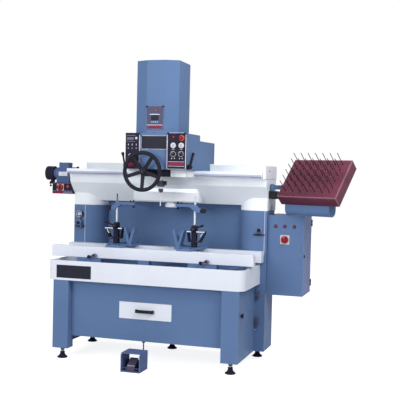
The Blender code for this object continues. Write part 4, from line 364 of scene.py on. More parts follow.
def plastic_group():
    """Moulded plastic: a fine grain, handled patches and paler edges that are partly wear and
    partly a painted highlight.
    """
    tree, net, given, out = surface_group("plastic_surface")
    place = net.place()
    patch = net.noise(place, 26.0, 4.0)
    toned = net.scaled(given["Colour"], net.spread(patch, 0.88, 1.12))
    wear_and_highlight_mask = net.times(net.edges(0.0015), given["Wear"])
    net.feed(out["Colour"], net.blend(wear_and_highlight_mask, toned, WEAR_AND_HIGHLIGHT_PLASTIC))
    rub = net.span(patch, 0.35, 0.65, -0.07, 0.08)
    net.feed(out["Roughness"], net.plus(given["Roughness"], rub))
    net.feed(out["Height"], net.noise(place, given["Scale"], 2.0))
    return tree


def timber_group(place_matrix):
    """Varnished timber: grain along the board, darker pores and pale edges that are partly wear and
    partly a painted highlight.
    """
    tree, net, given, out = surface_group("timber_surface")
    board = net.node("ShaderNodeMapping", vector_type="TEXTURE")
    net.feed(board.inputs["Vector"], net.place())
    board.inputs["Location"].default_value = place_matrix.translation
    board.inputs["Rotation"].default_value = place_matrix.to_euler("XYZ")
    drift = net.noise(net.stretched(board.outputs[0], (1.5, 9.0, 9.0)), given["Scale"], 3.0)
    grain = net.noise(net.stretched(board.outputs[0], (4.0, 90.0, 90.0)), given["Scale"], 4.0)
    figure = net.plus(net.times(drift, 0.6), net.times(grain, 0.4))
    toned = net.scaled(given["Colour"], net.span(figure, 0.35, 0.65, 0.62, 1.30))
    rub = net.span(net.noise(board.outputs[0], 30.0, 4.0), 0.30, 0.55, 0.35, 1.0)
    wear_and_highlight_mask = net.times(net.times(net.edges(0.006), rub), given["Wear"])
    net.feed(out["Colour"], net.blend(wear_and_highlight_mask, toned, WEAR_AND_HIGHLIGHT_TIMBER))
    gloss = net.spread(grain, -0.06, 0.12)
    net.feed(out["Roughness"], net.plus(given["Roughness"], gloss))
    net.feed(out["Height"], figure)
    return tree


def grit_group():
    """Bonded grit or sand-cast iron: small cells in several tones."""
    tree, net, given, out = surface_group("grit_surface")
    place = net.place()
    cells = net.node("ShaderNodeTexVoronoi")
    net.feed(cells.inputs["Vector"], place)
    net.feed(cells.inputs["Scale"], given["Scale"])
    tone = net.span(cells.outputs["Distance"], 0.0, 0.8, 1.0, 0.72)
    patch = net.spread(net.noise(place, 40.0, 4.0), 0.85, 1.15)
    speck = net.times(tone, patch)
    net.feed(out["Colour"], net.scaled(given["Colour"], speck))
    rough = net.times(given["Wear"], tone)
    net.feed(out["Roughness"], net.plus(given["Roughness"], rough))
    net.feed(out["Height"], net.math("SUBTRACT", 1.0, cells.outputs["Distance"]))
    return tree


# Finishes: surface, colour, metallic, roughness, grain scale, bump depth in mm, wear with the
# painted edge highlight, and coat
FINISHES = {
    "blue_enamel": ("enamel", "blue", 0, 0.42, 380, 0.12, 0.3, 0.03),
    "pale_blue_enamel": ("enamel", "pale_blue", 0, 0.44, 380, 0.12, 0.3, 0.02),
    "deep_blue_enamel": ("enamel", "deep_blue", 0, 0.44, 380, 0.14, 0.35, 0.02),
    "guard_enamel": ("enamel", "guard_blue", 0, 0.46, 380, 0.14, 0.35, 0.02),
    # Painted shade on the slideway's front
    "ground_strip": ("enamel", "bead", 0, 0.4, 700, 0.04, 0, 0),
    "bead_enamel": ("enamel", "bead", 0, 0.4, 380, 0.08, 0, 0.05),
    "white_enamel": ("enamel", "white", 0, 0.38, 380, 0.1, 0, 0.06),
    "pale_enamel": ("enamel", "pale", 0, 0.38, 380, 0.1, 0, 0.06),
    "black_plastic": ("plastic", "black", 0, 0.46, 900, 0.08, 0.03, 0),
    "black_enamel": ("enamel", "soot", 0, 0.46, 420, 0.14, 0.1, 0.02),
    "cast_iron": ("grit", "soot", 0.2, 0.58, 520, 0.2, 0.1, 0),
    "panel_film": ("plastic", "film", 0, 0.55, 1200, 0.04, 0.05, 0),
    "slate_film": ("plastic", "slate", 0, 0.5, 1200, 0.04, 0, 0),
    "tread_rubber": ("plastic", "tread", 0, 0.6, 700, 0.06, 0, 0),
    "grey_plastic": ("plastic", "grey", 0, 0.5, 1200, 0.04, 0, 0),
    "bare_plate": ("plastic", "plate", 0.1, 0.46, 1200, 0.04, 0.12, 0),
    "bright_steel": ("metal", "steel", 0.9, 0.28, 700, 0.03, 0.6, 0),
    "satin_steel": ("metal", "steel", 0.45, 0.34, 700, 0.03, 0.6, 0),
    "panel_frame": ("metal", "frame_metal", 0.5, 0.4, 700, 0.03, 0.6, 0),
    "dark_steel": ("metal", "gunmetal", 0.7, 0.4, 600, 0.04, 0.8, 0),
    "red_plastic": ("plastic", "red", 0, 0.34, 900, 0.04, 0.05, 0.1),
    "lamp_lens": ("plastic", "lamp_red", 0, 0.3, 900, 0.04, 0, 0.2),
    "red_film": ("plastic", "dull_red", 0, 0.5, 1200, 0.03, 0, 0),
    "orange_plastic": ("plastic", "orange", 0, 0.4, 900, 0.04, 0, 0),
    "cream_plastic": ("plastic", "cream", 0, 0.42, 900, 0.04, 0, 0),
    "white_plastic": ("plastic", "ivory", 0, 0.38, 900, 0.04, 0, 0.05),
    "blue_lamp": ("plastic", "lamp_blue", 0, 0.32, 900, 0.03, 0, 0.2),
    "varnished_wood": ("timber", "wood", 0, 0.46, 1, 0.3, 0.8, 0.08),
    "worn_wood": ("timber", "worn_wood", 0, 0.46, 1, 0.1, 0, 0.08),
    "abrasive": ("grit", "stone", 0, 0.8, 900, 0.35, 0.12, 0),
    "cable_rubber": ("plastic", "rubber", 0, 0.58, 700, 0.06, 0, 0),
    "lit_lens": ("plastic", "lens", 0, 0.4, 500, 0.1, 0, 0),
    "frosted_lens": ("plastic", "lens", 0, 0.35, 500, 0.1, 0, 0.3),
}
# Specular level of each surface, and light that a finish gives off; the glow on the work light's
# hood is a painted highlight
GLOSS = {"enamel": 0.02, "metal": 0.5, "plastic": 0.12, "timber": 0.12, "grit": 0.1}
GLOW = {"lit_lens": 0.70}
COAT_ROUGHNESS = 0.12

# The tool board's place, which its grain follows
BOARD_YAW = math.radians(-20)
BOARD_TILT = math.radians(48)
BOARD_CENTRE = Vector((1.090, 0.4776, 1.2844))


def board_place():
    """Tool board's own axes in the machine's coordinates: width, depth up the slope, and face."""
    turn = Matrix.Rotation(BOARD_YAW, 4, "Z") @ Matrix.Rotation(BOARD_TILT, 4, "X")
    return Matrix.Translation(BOARD_CENTRE) @ turn


GROUP_MAKERS = {
    "enamel": enamel_group,
    "metal": metal_group,
    "plastic": plastic_group,
    "timber": lambda: timber_group(Matrix.Translation(ORIGIN) @ board_place()),
    "grit": grit_group,
}


def finish_material(name):
    """Material of a finish, made when it is first used."""
    label = "look_" + name
    material = bpy.data.materials.get(label)
    if material:
        return material
    surface, colour, metallic, roughness, scale, depth, wear, coat = FINISHES[name]
    tree = bpy.data.node_groups.get(surface + "_surface") or GROUP_MAKERS[surface]()
    material = bpy.data.materials.new(label)
    material.use_nodes = True
    net = Net(material.node_tree)
    shader = material.node_tree.nodes["Principled BSDF"]
    rgb = getattr(bpy.context.scene.machine_paints, colour)
    group = net.node("ShaderNodeGroup", node_tree=tree)
    given = {"Colour": (*rgb, 1), "Roughness": roughness, "Scale": scale, "Wear": wear}
    for socket, value in given.items():
        group.inputs[socket].default_value = value
    bump = net.node("ShaderNodeBump")
    bump.inputs["Distance"].default_value = depth / 1000
    net.feed(bump.inputs["Height"], group.outputs["Height"])
    net.feed(shader.inputs["Base Color"], group.outputs["Colour"])
    net.feed(shader.inputs["Roughness"], group.outputs["Roughness"])
    net.feed(shader.inputs["Normal"], bump.outputs[0])
    shader.inputs["Metallic"].default_value = metallic
    shader.inputs["Coat Weight"].default_value = coat
    shader.inputs["Specular IOR Level"].default_value = GLOSS[surface]
    shader.inputs["Coat Roughness"].default_value = COAT_ROUGHNESS
    shader.inputs["Emission Color"].default_value = (*rgb, 1)
    shader.inputs["Emission Strength"].default_value = GLOW.get(name, 0)
    material.diffuse_color = (*rgb, 1)
    return material


# Shapes and outlines in the machine's own coordinates


def round_edges(bm, width, segments=2):
    """Round every edge that is sharper than the hard angle."""
    edges = [e for e in bm.edges if e.is_manifold and e.calc_face_angle(0) > HARD_ANGLE]
    if width > 0 and edges:
        bmesh.ops.bevel(
            bm,
            geom=edges,
            offset=width,
            segments=segments,
            profile=0.5,
            affect="EDGES",
            clamp_overlap=True,
        )
    return bm


def cad_shape(node, edge, segments=2):
    """A CAD node's own form with its hard edges rounded."""
    bm = bmesh.new()
    bm.from_mesh(frame["nodes"][node].data)
    bmesh.ops.remove_doubles(bm, verts=bm.verts, dist=WELD)
    bmesh.ops.dissolve_limit(bm, angle_limit=FLAT_ANGLE, verts=bm.verts, edges=bm.edges)
    bmesh.ops.translate(bm, verts=bm.verts, vec=-ORIGIN)
    return round_edges(bm, edge, segments)


def block(low, high, edge=SMALL_EDGE, segments=2):
    """Box between two corners, with rounded edges."""
    bm = bmesh.new()
    low, high = Vector(low), Vector(high)
    bmesh.ops.create_cube(bm, size=1)
    bm.transform(Matrix.LocRotScale((low + high) / 2, None, high - low))
    return round_edges(bm, edge, segments)


def prism(outline, low, high, plane, edge=SMALL_EDGE, segments=2):
    """Flat outline drawn out between two depths of a plane's third axis."""
    order = {"XY": (0, 1, 2), "YZ": (2, 0, 1), "XZ": (0, 2, 1)}[plane]
    bm = bmesh.new()

    def layer(depth):
        corners = []
        for u, v in outline:
            drawn = (u, v, depth)
            corners.append(bm.verts.new([drawn[axis] for axis in order]))
        return corners

    near, far = layer(low), layer(high)
    bm.faces.new(near)
    bm.faces.new(far)
    for i in range(len(near)):
        bm.faces.new((near[i - 1], near[i], far[i], far[i - 1]))
    bmesh.ops.recalc_face_normals(bm, faces=bm.faces)
    return round_edges(bm, edge, segments)


def window_bar(outer, inner, low, high, edge=SMALL_EDGE):
    """Closed frame between two outlines in the XZ plane, drawn out between two depths."""
    bm = bmesh.new()
    rings = []
    for y in (low, high):
        for outline in (outer, inner):
            rings.append([bm.verts.new((x, y, z)) for x, z in outline])
    near, near_hole, far, far_hole = rings
    for first, second in ((near, near_hole), (far_hole, far), (far, near), (near_hole, far_hole)):
        for i in range(len(first)):
            bm.faces.new((first[i - 1], first[i], second[i], second[i - 1]))
    bmesh.ops.recalc_face_normals(bm, faces=bm.faces)
    return round_edges(bm, edge)


def mm(*pairs):
    """Profile in metres from radius and height pairs in millimetres."""
    return [(radius / 1000, height / 1000) for radius, height in pairs]


def lathe(profile, base, axis=UP, steps=24, closed=False):
    """Turned form: radius and height pairs round an axis that starts at base."""
    bm = bmesh.new()
    turns = [FULL_TURN * i / steps for i in range(steps)]
    loops = []
    for radius, height in profile:
        if radius < WELD:
            places = [(0, 0, height)]
        else:
            places = [(radius * math.cos(t), radius * math.sin(t), height) for t in turns]
        loops.append([bm.verts.new(place) for place in places])
    for lower, upper in zip(loops, loops[1:] + loops[:1] if closed else loops[1:]):
        for i in range(steps):
            walk = ((lower, 0), (lower, 1), (upper, 1), (upper, 0))
            corners = dict.fromkeys(loop[(i + k) % len(loop)] for loop, k in walk)
            if len(corners) > 2:
                bm.faces.new(list(corners))
    if not closed:
        for loop in (loops[0], loops[-1]):
            if len(loop) > 1:
                bm.faces.new(loop)
    bmesh.ops.recalc_face_normals(bm, faces=bm.faces)
    turn = UP.rotation_difference(Vector(axis)).to_matrix().to_4x4()
    bm.transform(Matrix.Translation(base) @ turn)
    return bm


def rod(start, end, radius, tip=None, edge=0.0008, steps=16):
    """Round bar with chamfered ends, tapered where a tip radius is given."""
    start, end = Vector(start), Vector(end)
    run = (end - start).length
    tip = radius if tip is None else tip
    profile = [(0, 0), (radius - edge, 0), (radius, edge)]
    profile += [(tip, run - edge), (tip - edge, run), (0, run)]
    return lathe(profile, start, end - start, steps)


def ring(centre, axis, radius, thickness, width=None, steps=40, sides=12):
    """Round ring of an oval section."""
    width = width or thickness
    turns = [FULL_TURN * i / sides for i in range(sides)]
    profile = [(radius + thickness * math.cos(t), width * math.sin(t)) for t in turns]
    return lathe(profile, centre, axis, steps, closed=True)


def ball(centre, radius, squash=(1, 1, 1)):
    """Ball, drawn out along the three axes where squash says so."""
    bm = bmesh.new()
    bmesh.ops.create_uvsphere(bm, u_segments=20, v_segments=12, radius=radius)
    bm.transform(Matrix.LocRotScale(Vector(centre), None, Vector(squash)))
    return bm


def star_outline(centre, radius, lobes, depth, steps=8):
    """Outline of a lobed knob."""
    points = []
    for i in range(lobes * steps):
        t = FULL_TURN * i / (lobes * steps)
        reach = radius - depth * (0.5 - 0.5 * math.cos(lobes * t))
        points.append((centre[0] + reach * math.cos(t), centre[1] + reach * math.sin(t)))
    return points


def arc(centre, radius, start, end, steps):
    """Points on a circle between two angles in degrees."""
    turns = [math.radians(start + (end - start) * i / steps) for i in range(steps + 1)]
    return [(centre[0] + radius * math.cos(t), centre[1] + radius * math.sin(t)) for t in turns]


def rounded(left, right, low, high, radius, steps=5):
    """Outline of a rectangle with round corners."""
    corners = (
        ((right - radius, high - radius), 0),
        ((left + radius, high - radius), 90),
        ((left + radius, low + radius), 180),
        ((right - radius, low + radius), 270),
    )
    outline = []
    for centre, start in corners:
        outline += arc(centre, radius, start, start + 90, steps)
    return outline


def smooth_route(route, step):
    """Points about a step apart on a smooth curve through a route's own points."""
    knots = [Vector(point) for point in route]
    knots = [2 * knots[0] - knots[1], *knots, 2 * knots[-1] - knots[-2]]
    points = []
    for before, start, end, after in zip(knots, knots[1:], knots[2:], knots[3:]):
        count = max(1, round((end - start).length / step))
        for i in range(count):
            t = i / count
            bend = (2 * before - 5 * start + 4 * end - after) * t**2
            twist = (3 * start - before - 3 * end + after) * t**3
            points.append((2 * start + (end - before) * t + bend + twist) / 2)
    points.append(knots[-2])
    return points


def new_object(name, data):
    """Object with its data, put into the scene."""
    obj = bpy.data.objects.new(name, data)
    bpy.context.collection.objects.link(obj)
    return obj


def route_curve(name, points, radius):
    """Curve object along points, with round section and closed ends."""
    curve = bpy.data.curves.new(name, "CURVE")
    curve.dimensions = "3D"
    curve.bevel_depth = radius
    curve.bevel_resolution = 5
    curve.use_fill_caps = True
    spline = curve.splines.new("POLY")
    spline.points.add(len(points) - 1)
    for knot, point in zip(spline.points, points):
        knot.co = (*point, 1)
    return new_object(name, curve)


def flat_bar(start, end, across, size, end_size=None, edge=0.002):
    """Straight bar of a width and thickness, which may change towards its end."""
    start, end, across = Vector(start), Vector(end), Vector(across)
    through = (end - start).normalized().cross(across)
    bm = bmesh.new()
    rings = []
    for point, (wide, thick) in ((start, size), (end, end_size or size)):
        wide_half = across * wide / 2
        thick_half = through * thick / 2
        corners = [(-1, -1), (1, -1), (1, 1), (-1, 1)]
        rings.append([bm.verts.new(point + wide_half * u + thick_half * v) for u, v in corners])
    near, far = rings
    bm.faces.new(near)
    bm.faces.new(far)
    for i in range(4):
        bm.faces.new((near[i - 1], near[i], far[i], far[i - 1]))
    bmesh.ops.recalc_face_normals(bm, faces=bm.faces)
    return round_edges(bm, edge)


def front_ray(degrees):
    """Direction in the front plane, turned up from the right."""
    t = math.radians(degrees)
    return Vector((math.cos(t), 0, math.sin(t)))


def dial_marks(centre, count, inner, reach, size):
    """Strokes round three quarters of a dial that looks to the front."""
    strokes = []
    for i in range(count):
        out = front_ray(225 - i * 270 / (count - 1))
        start = centre + out * inner
        strokes.append(flat_bar(start, start + out * reach, out.cross(FRONT), size, edge=0))
    return strokes


def screw(centre, axis, radius):
    """Socket screw head that stands on a face."""
    pairs = ((0, 0.25), (0.45, 0.25), (0.5, 0.7), (0.85, 0.7), (1, 0.5), (1, 0), (0, 0))
    profile = [(radius * out, radius * up) for out, up in pairs]
    return lathe(profile, centre, axis, 12)


# Pieces

# How far frames and caps stand off a panel, caps lap over its edge, plates sink in and switches sit
FRAME_PROUD = 0.0012
CAP_PROUD = 0.0022
CAP_LAP = 0.0006
SINK = 0.0002
SWITCH_SEAT = 0.0004


class Piece:
    """Shapes with finishes that are joined into one piece of the machine."""

    def __init__(self, name):
        self.name = name
        self.whole = bmesh.new()
        self.finishes = []

    def add(self, finish, *shapes):
        """Put shapes of one finish into the piece; the shapes are used up."""
        if finish not in self.finishes:
            self.finishes.append(finish)
        index = self.finishes.index(finish)
        for shape in shapes:
            for face in shape.faces:
                face.material_index = index
                face.smooth = True
            scratch = bpy.data.meshes.new("scratch")
            shape.to_mesh(scratch)
            shape.free()
            self.whole.from_mesh(scratch)
            bpy.data.meshes.remove(scratch)
        return self

    def turn(self, matrix):
        self.whole.transform(matrix)
        return self

    def fit(self, *nodes, body=None, slot=None, fold=SMOOTH_ANGLE):
        """Make the object, ride it on its body and let it stand for CAD nodes."""
        mesh = bpy.data.meshes.new(self.name)
        self.whole.transform(Matrix.Translation(ORIGIN))
        self.whole.to_mesh(mesh)
        self.whole.free()
        mesh.set_sharp_from_angle(angle=fold)
        for finish in self.finishes:
            mesh.materials.append(finish_material(finish))
        obj = new_object(self.name, mesh)
        normals = obj.modifiers.new("weighted_normals", "WEIGHTED_NORMAL")
        normals.keep_sharp = True
        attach(obj, body or frame["nodes"][nodes[0]]["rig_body"])
        if nodes:
            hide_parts(*nodes)
        return obj


def cad_piece(name, node, finish, edge, segments=2):
    """Piece that starts from one CAD node with rounded edges."""
    return Piece(name).add(finish, cad_shape(node, edge, segments))


def dress(name, node, finish, edge, segments=2, fold=SMOOTH_ANGLE):
    """Finished piece that follows one CAD node."""
    return cad_piece(name, node, finish, edge, segments).fit(node, fold=fold)


def coat_nodes(finish, *nodes):
    """Give CAD nodes that keep their own form a finish."""
    for node in nodes:
        for slot in frame["nodes"][node].material_slots:
            slot.link = "OBJECT"
            slot.material = finish_material(finish)


def frame_bars(left, right, low, high):
    """Left, right, low and high of the four bars that frame a plate."""
    width = bpy.context.scene.machine_edges.frame
    return (
        (left, right, low, low + width),
        (left, right, high - width, high),
        (left, left + width, low, high),
        (right - width, right, low, high),
    )


def framed_plate(piece, place, face, proud, finish, rim="panel_frame"):
    """Plate that looks to the front, in a frame; gives the depth of its front."""
    left, right, low, high = place
    back = face + SINK
    front = face - proud
    piece.add(finish, block((left, front, low), (right, back, high), 0.0006))
    for x0, x1, z0, z1 in frame_bars(left, right, low, high):
        piece.add(rim, block((x0, front - FRAME_PROUD, z0), (x1, back, z1), 0.0005, 1))
    return front


def corner_caps(piece, left, right, high, front, size):
    """Black caps on a panel's two upper corners."""
    top = high + CAP_LAP
    for x0, x1 in ((left - CAP_LAP, left + size), (right - size, right + CAP_LAP)):
        cap = block((x0, front - CAP_PROUD, high - size), (x1, front + 0.002, top), 0.001)
        piece.add("black_plastic", cap)


def disc(x, front, z, radius, proud, steps=20):
    """Flat round mark that stands a little off a face that looks to the front."""
    edge = min(radius, proud) * 0.4
    profile = [(0, proud), (radius - edge, proud), (radius, proud - edge), (radius, 0), (0, 0)]
    return lathe(profile, (x, front, z), FRONT, steps)


def dash(x, front, z, wide, high, proud=0.0005):
    """Flat mark on a face that looks to the front."""
    low = (x - wide / 2, front - proud, z - high / 2)
    return block(low, (x + wide / 2, front + 0.0003, z + high / 2), 0.0002, 1)


def switch_plate(x, z, half_wide, half_high, corner, face):
    """Cream plate behind a turn switch."""
    outline = rounded(x - half_wide, x + half_wide, z - half_high, z + half_high, corner)
    return prism(outline, face - SINK, face + 0.002, "XZ", 0.0)


def turn_switch(name, node, place, skirt, steps, grip, mark):
    """Red switch that looks to the front: turned skirt, grip bar and white mark."""
    x, base, z = place
    top = extent(node)[0].y + 0.0005
    half_wide, half_high, corner, depth, edge = grip
    rise, mark_wide, mark_high = mark
    switch = Piece(name).add("red_plastic", lathe(skirt, place, FRONT, steps))
    outline = rounded(x - half_wide, x + half_wide, z - half_high, z + half_high, corner)
    switch.add("red_plastic", prism(outline, top, base - depth, "XZ", edge))
    switch.add("white_plastic", dash(x, top, z + rise, mark_wide, mark_high))
    switch.fit(node)


# Stage

# Lamps: name, power setting, place, target and size
LAMPS = (
    ("key_lamp", "key", (-2.2, -6.0, 3.0), (0.05, 0.35, 1.0), 3.4),
    ("fill_lamp", "fill", (2.4, -1.5, 3.3), (0.4, 0.3, 1.75), 1.8),
    ("top_lamp", "top", (0.2, 0.2, 5.2), (0.05, 0.35, 1.0), 3.5),
)
SENSOR_WIDTH = 36
SIGHT = 100  # how far the camera sees
SKY_TONE = (0.97, 0.98, 1.0, 1)
FLOOR_TONE = (0.72, 0.72, 0.73, 1)
FLOOR_GLOW = 0.84
FLOOR_DROP = 0.0005  # keeps the floor off the feet


def aim_camera(scene, stage):
    """Camera at the photograph's viewing angle."""
    data = bpy.data.cameras.new("photo_camera")
    data.lens = stage.lens
    data.sensor_width = SENSOR_WIDTH
    data.clip_end = SIGHT
    camera = new_object("photo_camera", data)
    level = math.cos(stage.pitch)
    look = Vector(
        (-math.sin(stage.yaw) * level, math.cos(stage.yaw) * level, -math.sin(stage.pitch))
    )
    turn = look.to_track_quat("-Z", "Y").to_matrix().to_4x4()
    roll = Matrix.Rotation(stage.roll, 4, "Z")
    camera.matrix_world = Matrix.Translation(ORIGIN + Vector(stage.eye)) @ turn @ roll
    scene.camera = camera


def add_studio_lamp(name, place, target, size, watts):
    """Square soft lamp that looks at a target."""
    data = bpy.data.lights.new(name, "AREA")
    data.energy = watts
    data.size = size
    lamp = new_object(name, data)
    lamp.location = place
    lamp.rotation_euler = (target - place).to_track_quat("-Z", "Y").to_euler()


def seen_rays(net):
    """One where a ray comes from the camera, a reflection or glass, and nought elsewhere."""
    rays = net.node("ShaderNodeLightPath").outputs
    seen = net.plus(rays["Is Camera Ray"], rays["Is Glossy Ray"])
    return net.math("MINIMUM", net.plus(seen, rays["Is Transmission Ray"]), 1.0)


def show_rays(net, lighting, seen, output):
    """Send one shader to the rays that see a surface and another to the light."""
    mix = net.node("ShaderNodeMixShader")
    net.feed(mix.inputs[0], seen_rays(net))
    net.feed(mix.inputs[1], lighting.outputs[0])
    net.feed(mix.inputs[2], seen.outputs[0])
    net.feed(net.tree.nodes[output].inputs["Surface"], mix.outputs[0])


def light_world(scene, sky):
    """Even light all round, seen as white."""
    world = bpy.data.worlds.new("white_surroundings")
    scene.world = world
    world.use_nodes = True
    net = Net(world.node_tree)
    lighting = world.node_tree.nodes["Background"]
    lighting.inputs["Color"].default_value = SKY_TONE
    lighting.inputs["Strength"].default_value = sky
    shown = net.node("ShaderNodeBackground")
    shown.inputs["Color"].default_value = (1, 1, 1, 1)
    show_rays(net, lighting, shown, "World Output")


def lay_floor(half):
    """White floor that keeps the machine's shadow."""
    bm = bmesh.new()
    bmesh.ops.create_grid(bm, x_segments=8, y_segments=8, size=half)
    mesh = bpy.data.meshes.new("studio_floor")
    bm.to_mesh(mesh)
    bm.free()
    floor = new_object("studio_floor", mesh)
    floor.location.z = -FLOOR_DROP
    material = bpy.data.materials.new("studio_floor")
    material.use_nodes = True
    net = Net(material.node_tree)
    material.node_tree.nodes.remove(material.node_tree.nodes["Principled BSDF"])
    lit = net.node("ShaderNodeBsdfDiffuse")
    lit.inputs["Color"].default_value = FLOOR_TONE
    glow = net.node("ShaderNodeEmission")
    glow.inputs["Strength"].default_value = FLOOR_GLOW
    shown = net.node("ShaderNodeAddShader")
    net.feed(shown.inputs[0], lit.outputs[0])
    net.feed(shown.inputs[1], glow.outputs[0])
    show_rays(net, lit, shown, "Material Output")
    mesh.materials.append(material)


class MACHINE_OT_stage(bpy.types.Operator):
    """Set up the camera, the lamps, the white surroundings and the floor"""

    bl_idname = "machine.stage"
    bl_label = "Stage"

    def execute(self, context):
        stage = context.scene.machine_stage
        aim_camera(context.scene, stage)
        for name, setting, place, target, size in LAMPS:
            ends = ORIGIN + Vector(place), ORIGIN + Vector(target)
            add_studio_lamp(name, *ends, size, getattr(stage, setting))
        light_world(context.scene, stage.sky)
        lay_floor(stage.floor)
        context.scene.view_settings.view_transform = "Standard"
        return {"FINISHED"}


# Foot switch and its cable

CABLE_ROUTE = (
    (-0.018, -0.0187, 0.0300),
    (-0.018, 0.0060, 0.0300),
    (-0.020, 0.0370, 0.0260),
    (-0.024, 0.0750, 0.0320),
    (-0.029, 0.1080, 0.0570),
    (-0.032, 0.1230, 0.0930),
    (-0.033, 0.1250, 0.1377),
)
CABLE_RADIUS = 0.004
CABLE_STEP = 0.010
TREADLE_TOE = Vector((-0.010, -0.165, 0.032))
TREADLE_HEEL = Vector((-0.010, -0.095, 0.082))
TREADLE_RIBS = 7


class MACHINE_OT_cable(bpy.types.Operator):
    """Lay the foot switch's cable along its route"""

    bl_idname = "machine.cable"
    bl_label = "Foot Switch Cable"

    def execute(self, context):
        points = [ORIGIN + point for point in smooth_route(CABLE_ROUTE, CABLE_STEP)]
        cable = route_curve("foot_switch_cable", points, CABLE_RADIUS)
        cable.data.materials.append(finish_material("cable_rubber"))
        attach(cable, "frame")
        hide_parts("pedal_cable")
        return {"FINISHED"}


def add_foot_guard(edges):
    """Guard with side screws and the cable's gland."""
    guard = cad_piece("foot_guard", "pedal_guard", "guard_enamel", edges.thin)
    low, high = extent("pedal_guard")
    x, back, z = CABLE_ROUTE[0]
    sleeve = mm(
        (0, -24), (11, -24), (11.5, -17), (9.5, -16), (8.5, -4), (6.8, 0), (4.6, 0), (0, -1)
    )
    guard.add("black_plastic", lathe(sleeve, (x, back + 0.0006, z), -FRONT, 20))
    for side in (low.x, high.x):
        out = RIGHT if side == high.x else -RIGHT
        guard.add("dark_steel", screw((side, low.y + 0.034, 0.026), out, edges.screw))
    guard.fit("pedal_guard")


def add_treadle(edges):
    """Sloped treadle with ribs, the lowest one worn bright."""
    treadle = cad_piece("foot_treadle", "pedal_treadle", "tread_rubber", edges.thin)
    slope = (TREADLE_HEEL - TREADLE_TOE).normalized()
    reach = RIGHT * 0.024
    for i in range(TREADLE_RIBS):
        middle = TREADLE_TOE.lerp(TREADLE_HEEL, 0.14 + i * 0.12)
        rib = flat_bar(middle - reach, middle + reach, slope, (0.004, 0.003), edge=0.0008)
        treadle.add("satin_steel" if i == 0 else "tread_rubber", rib)
    treadle.fit("pedal_treadle")


class MACHINE_OT_foot_switch(bpy.types.Operator):
    """Dress the foot switch: its guard, its ribbed treadle and its cable gland"""

    bl_idname = "machine.foot_switch"
    bl_label = "Foot Switch"

    def execute(self, context):
        edges = context.scene.machine_edges
        add_foot_guard(edges)
        add_treadle(edges)
        return {"FINISHED"}


# Feet, base, tray and bed

FOOT_PLACES = ("front_left", "front_right", "rear_left", "rear_middle", "rear_right")
STEM_LOW = 0.028
THREAD_PITCH = 0.0042
THREAD_TURNS = 10
HANDLE_BAR = 0.009
HANDLE_SLANT = 0.007
SIDE_KNOB = (0.066, 0.388)
SIDE_BLOCKS = ((0.461, 0.504), (0.270, 0.315))
SIDE_PLUG_Z = 0.228
TRAY_PLATE = (-0.652, -0.388, 0.574, 0.664)
CLAMP_HUB = 0.014


def add_foot(node):
    """Round pad, threaded stem and lock nut."""
    low, high = extent(node)
    x, y, _ = centre_of(node)
    base = (x, y, low.z)
    radius = (high.x - low.x) / 2
    height = high.z - low.z
    pad = [(0, 0), (radius - 0.003, 0), (radius, 0.0025), (radius, 0.006)]
    pad += [(radius - 0.002, 0.0085), (radius - 0.009, 0.0125), (radius - 0.0145, 0.019)]
    pad += [(0.0180, 0.026), (0.0168, 0.032), (0.0164, 0.044), (0.0145, 0.046), (0, 0.046)]
    foot = Piece("levelling_" + node).add("black_enamel", lathe(pad, base, UP, 40))
    thread = [(0, STEM_LOW)]
    for i in range(THREAD_TURNS):
        level = STEM_LOW + i * THREAD_PITCH
        thread += [(0.0082, level), (0.0092, level + THREAD_PITCH / 2)]
    thread += [(0.0082, height), (0, height)]
    foot.add("satin_steel", lathe(thread, base, UP, 16))
    nut = mm((0, 54.5), (13.5, 54.5), (15.8, 56.5), (15.8, 66.5), (13.5, 68.5), (0, 68.5))
    foot.add("dark_steel", lathe(nut, base, UP, 6))
    foot.fit(node)


class MACHINE_OT_feet(bpy.types.Operator):
    """Dress the five levelling feet: pad, threaded stem and lock nut"""

    bl_idname = "machine.feet"
    bl_label = "Levelling Feet"

    def execute(self, context):
        for place in FOOT_PLACES:
            add_foot("foot_" + place)
        return {"FINISHED"}


def add_drawer_handle():
    """Flat bar with slanted corners, open towards the drawer."""
    low, high = extent("drawer_handle")
    slant = HANDLE_SLANT
    half, front, back = high.x, low.y, high.y
    outer = [(half, back), (half, front + slant), (half - slant, front)]
    outer += [(-x, y) for x, y in reversed(outer)]
    half -= HANDLE_BAR
    front += HANDLE_BAR
    slant *= 0.6
    inner = [(half - slant, front), (half, front + slant), (half, back)]
    inner = [(-x, y) for x, y in reversed(inner)] + inner
    handle = Piece("drawer_grip")
    handle.add("black_plastic", prism(outer + inner, low.z, high.z, "XY", 0.002, 3))
    middle = centre_of("drawer_handle")[2]
    for x in (-half, half):
        handle.add("dark_steel", screw((x * 0.86, low.y, middle), FRONT, 0.003))
    handle.fit("drawer_handle")


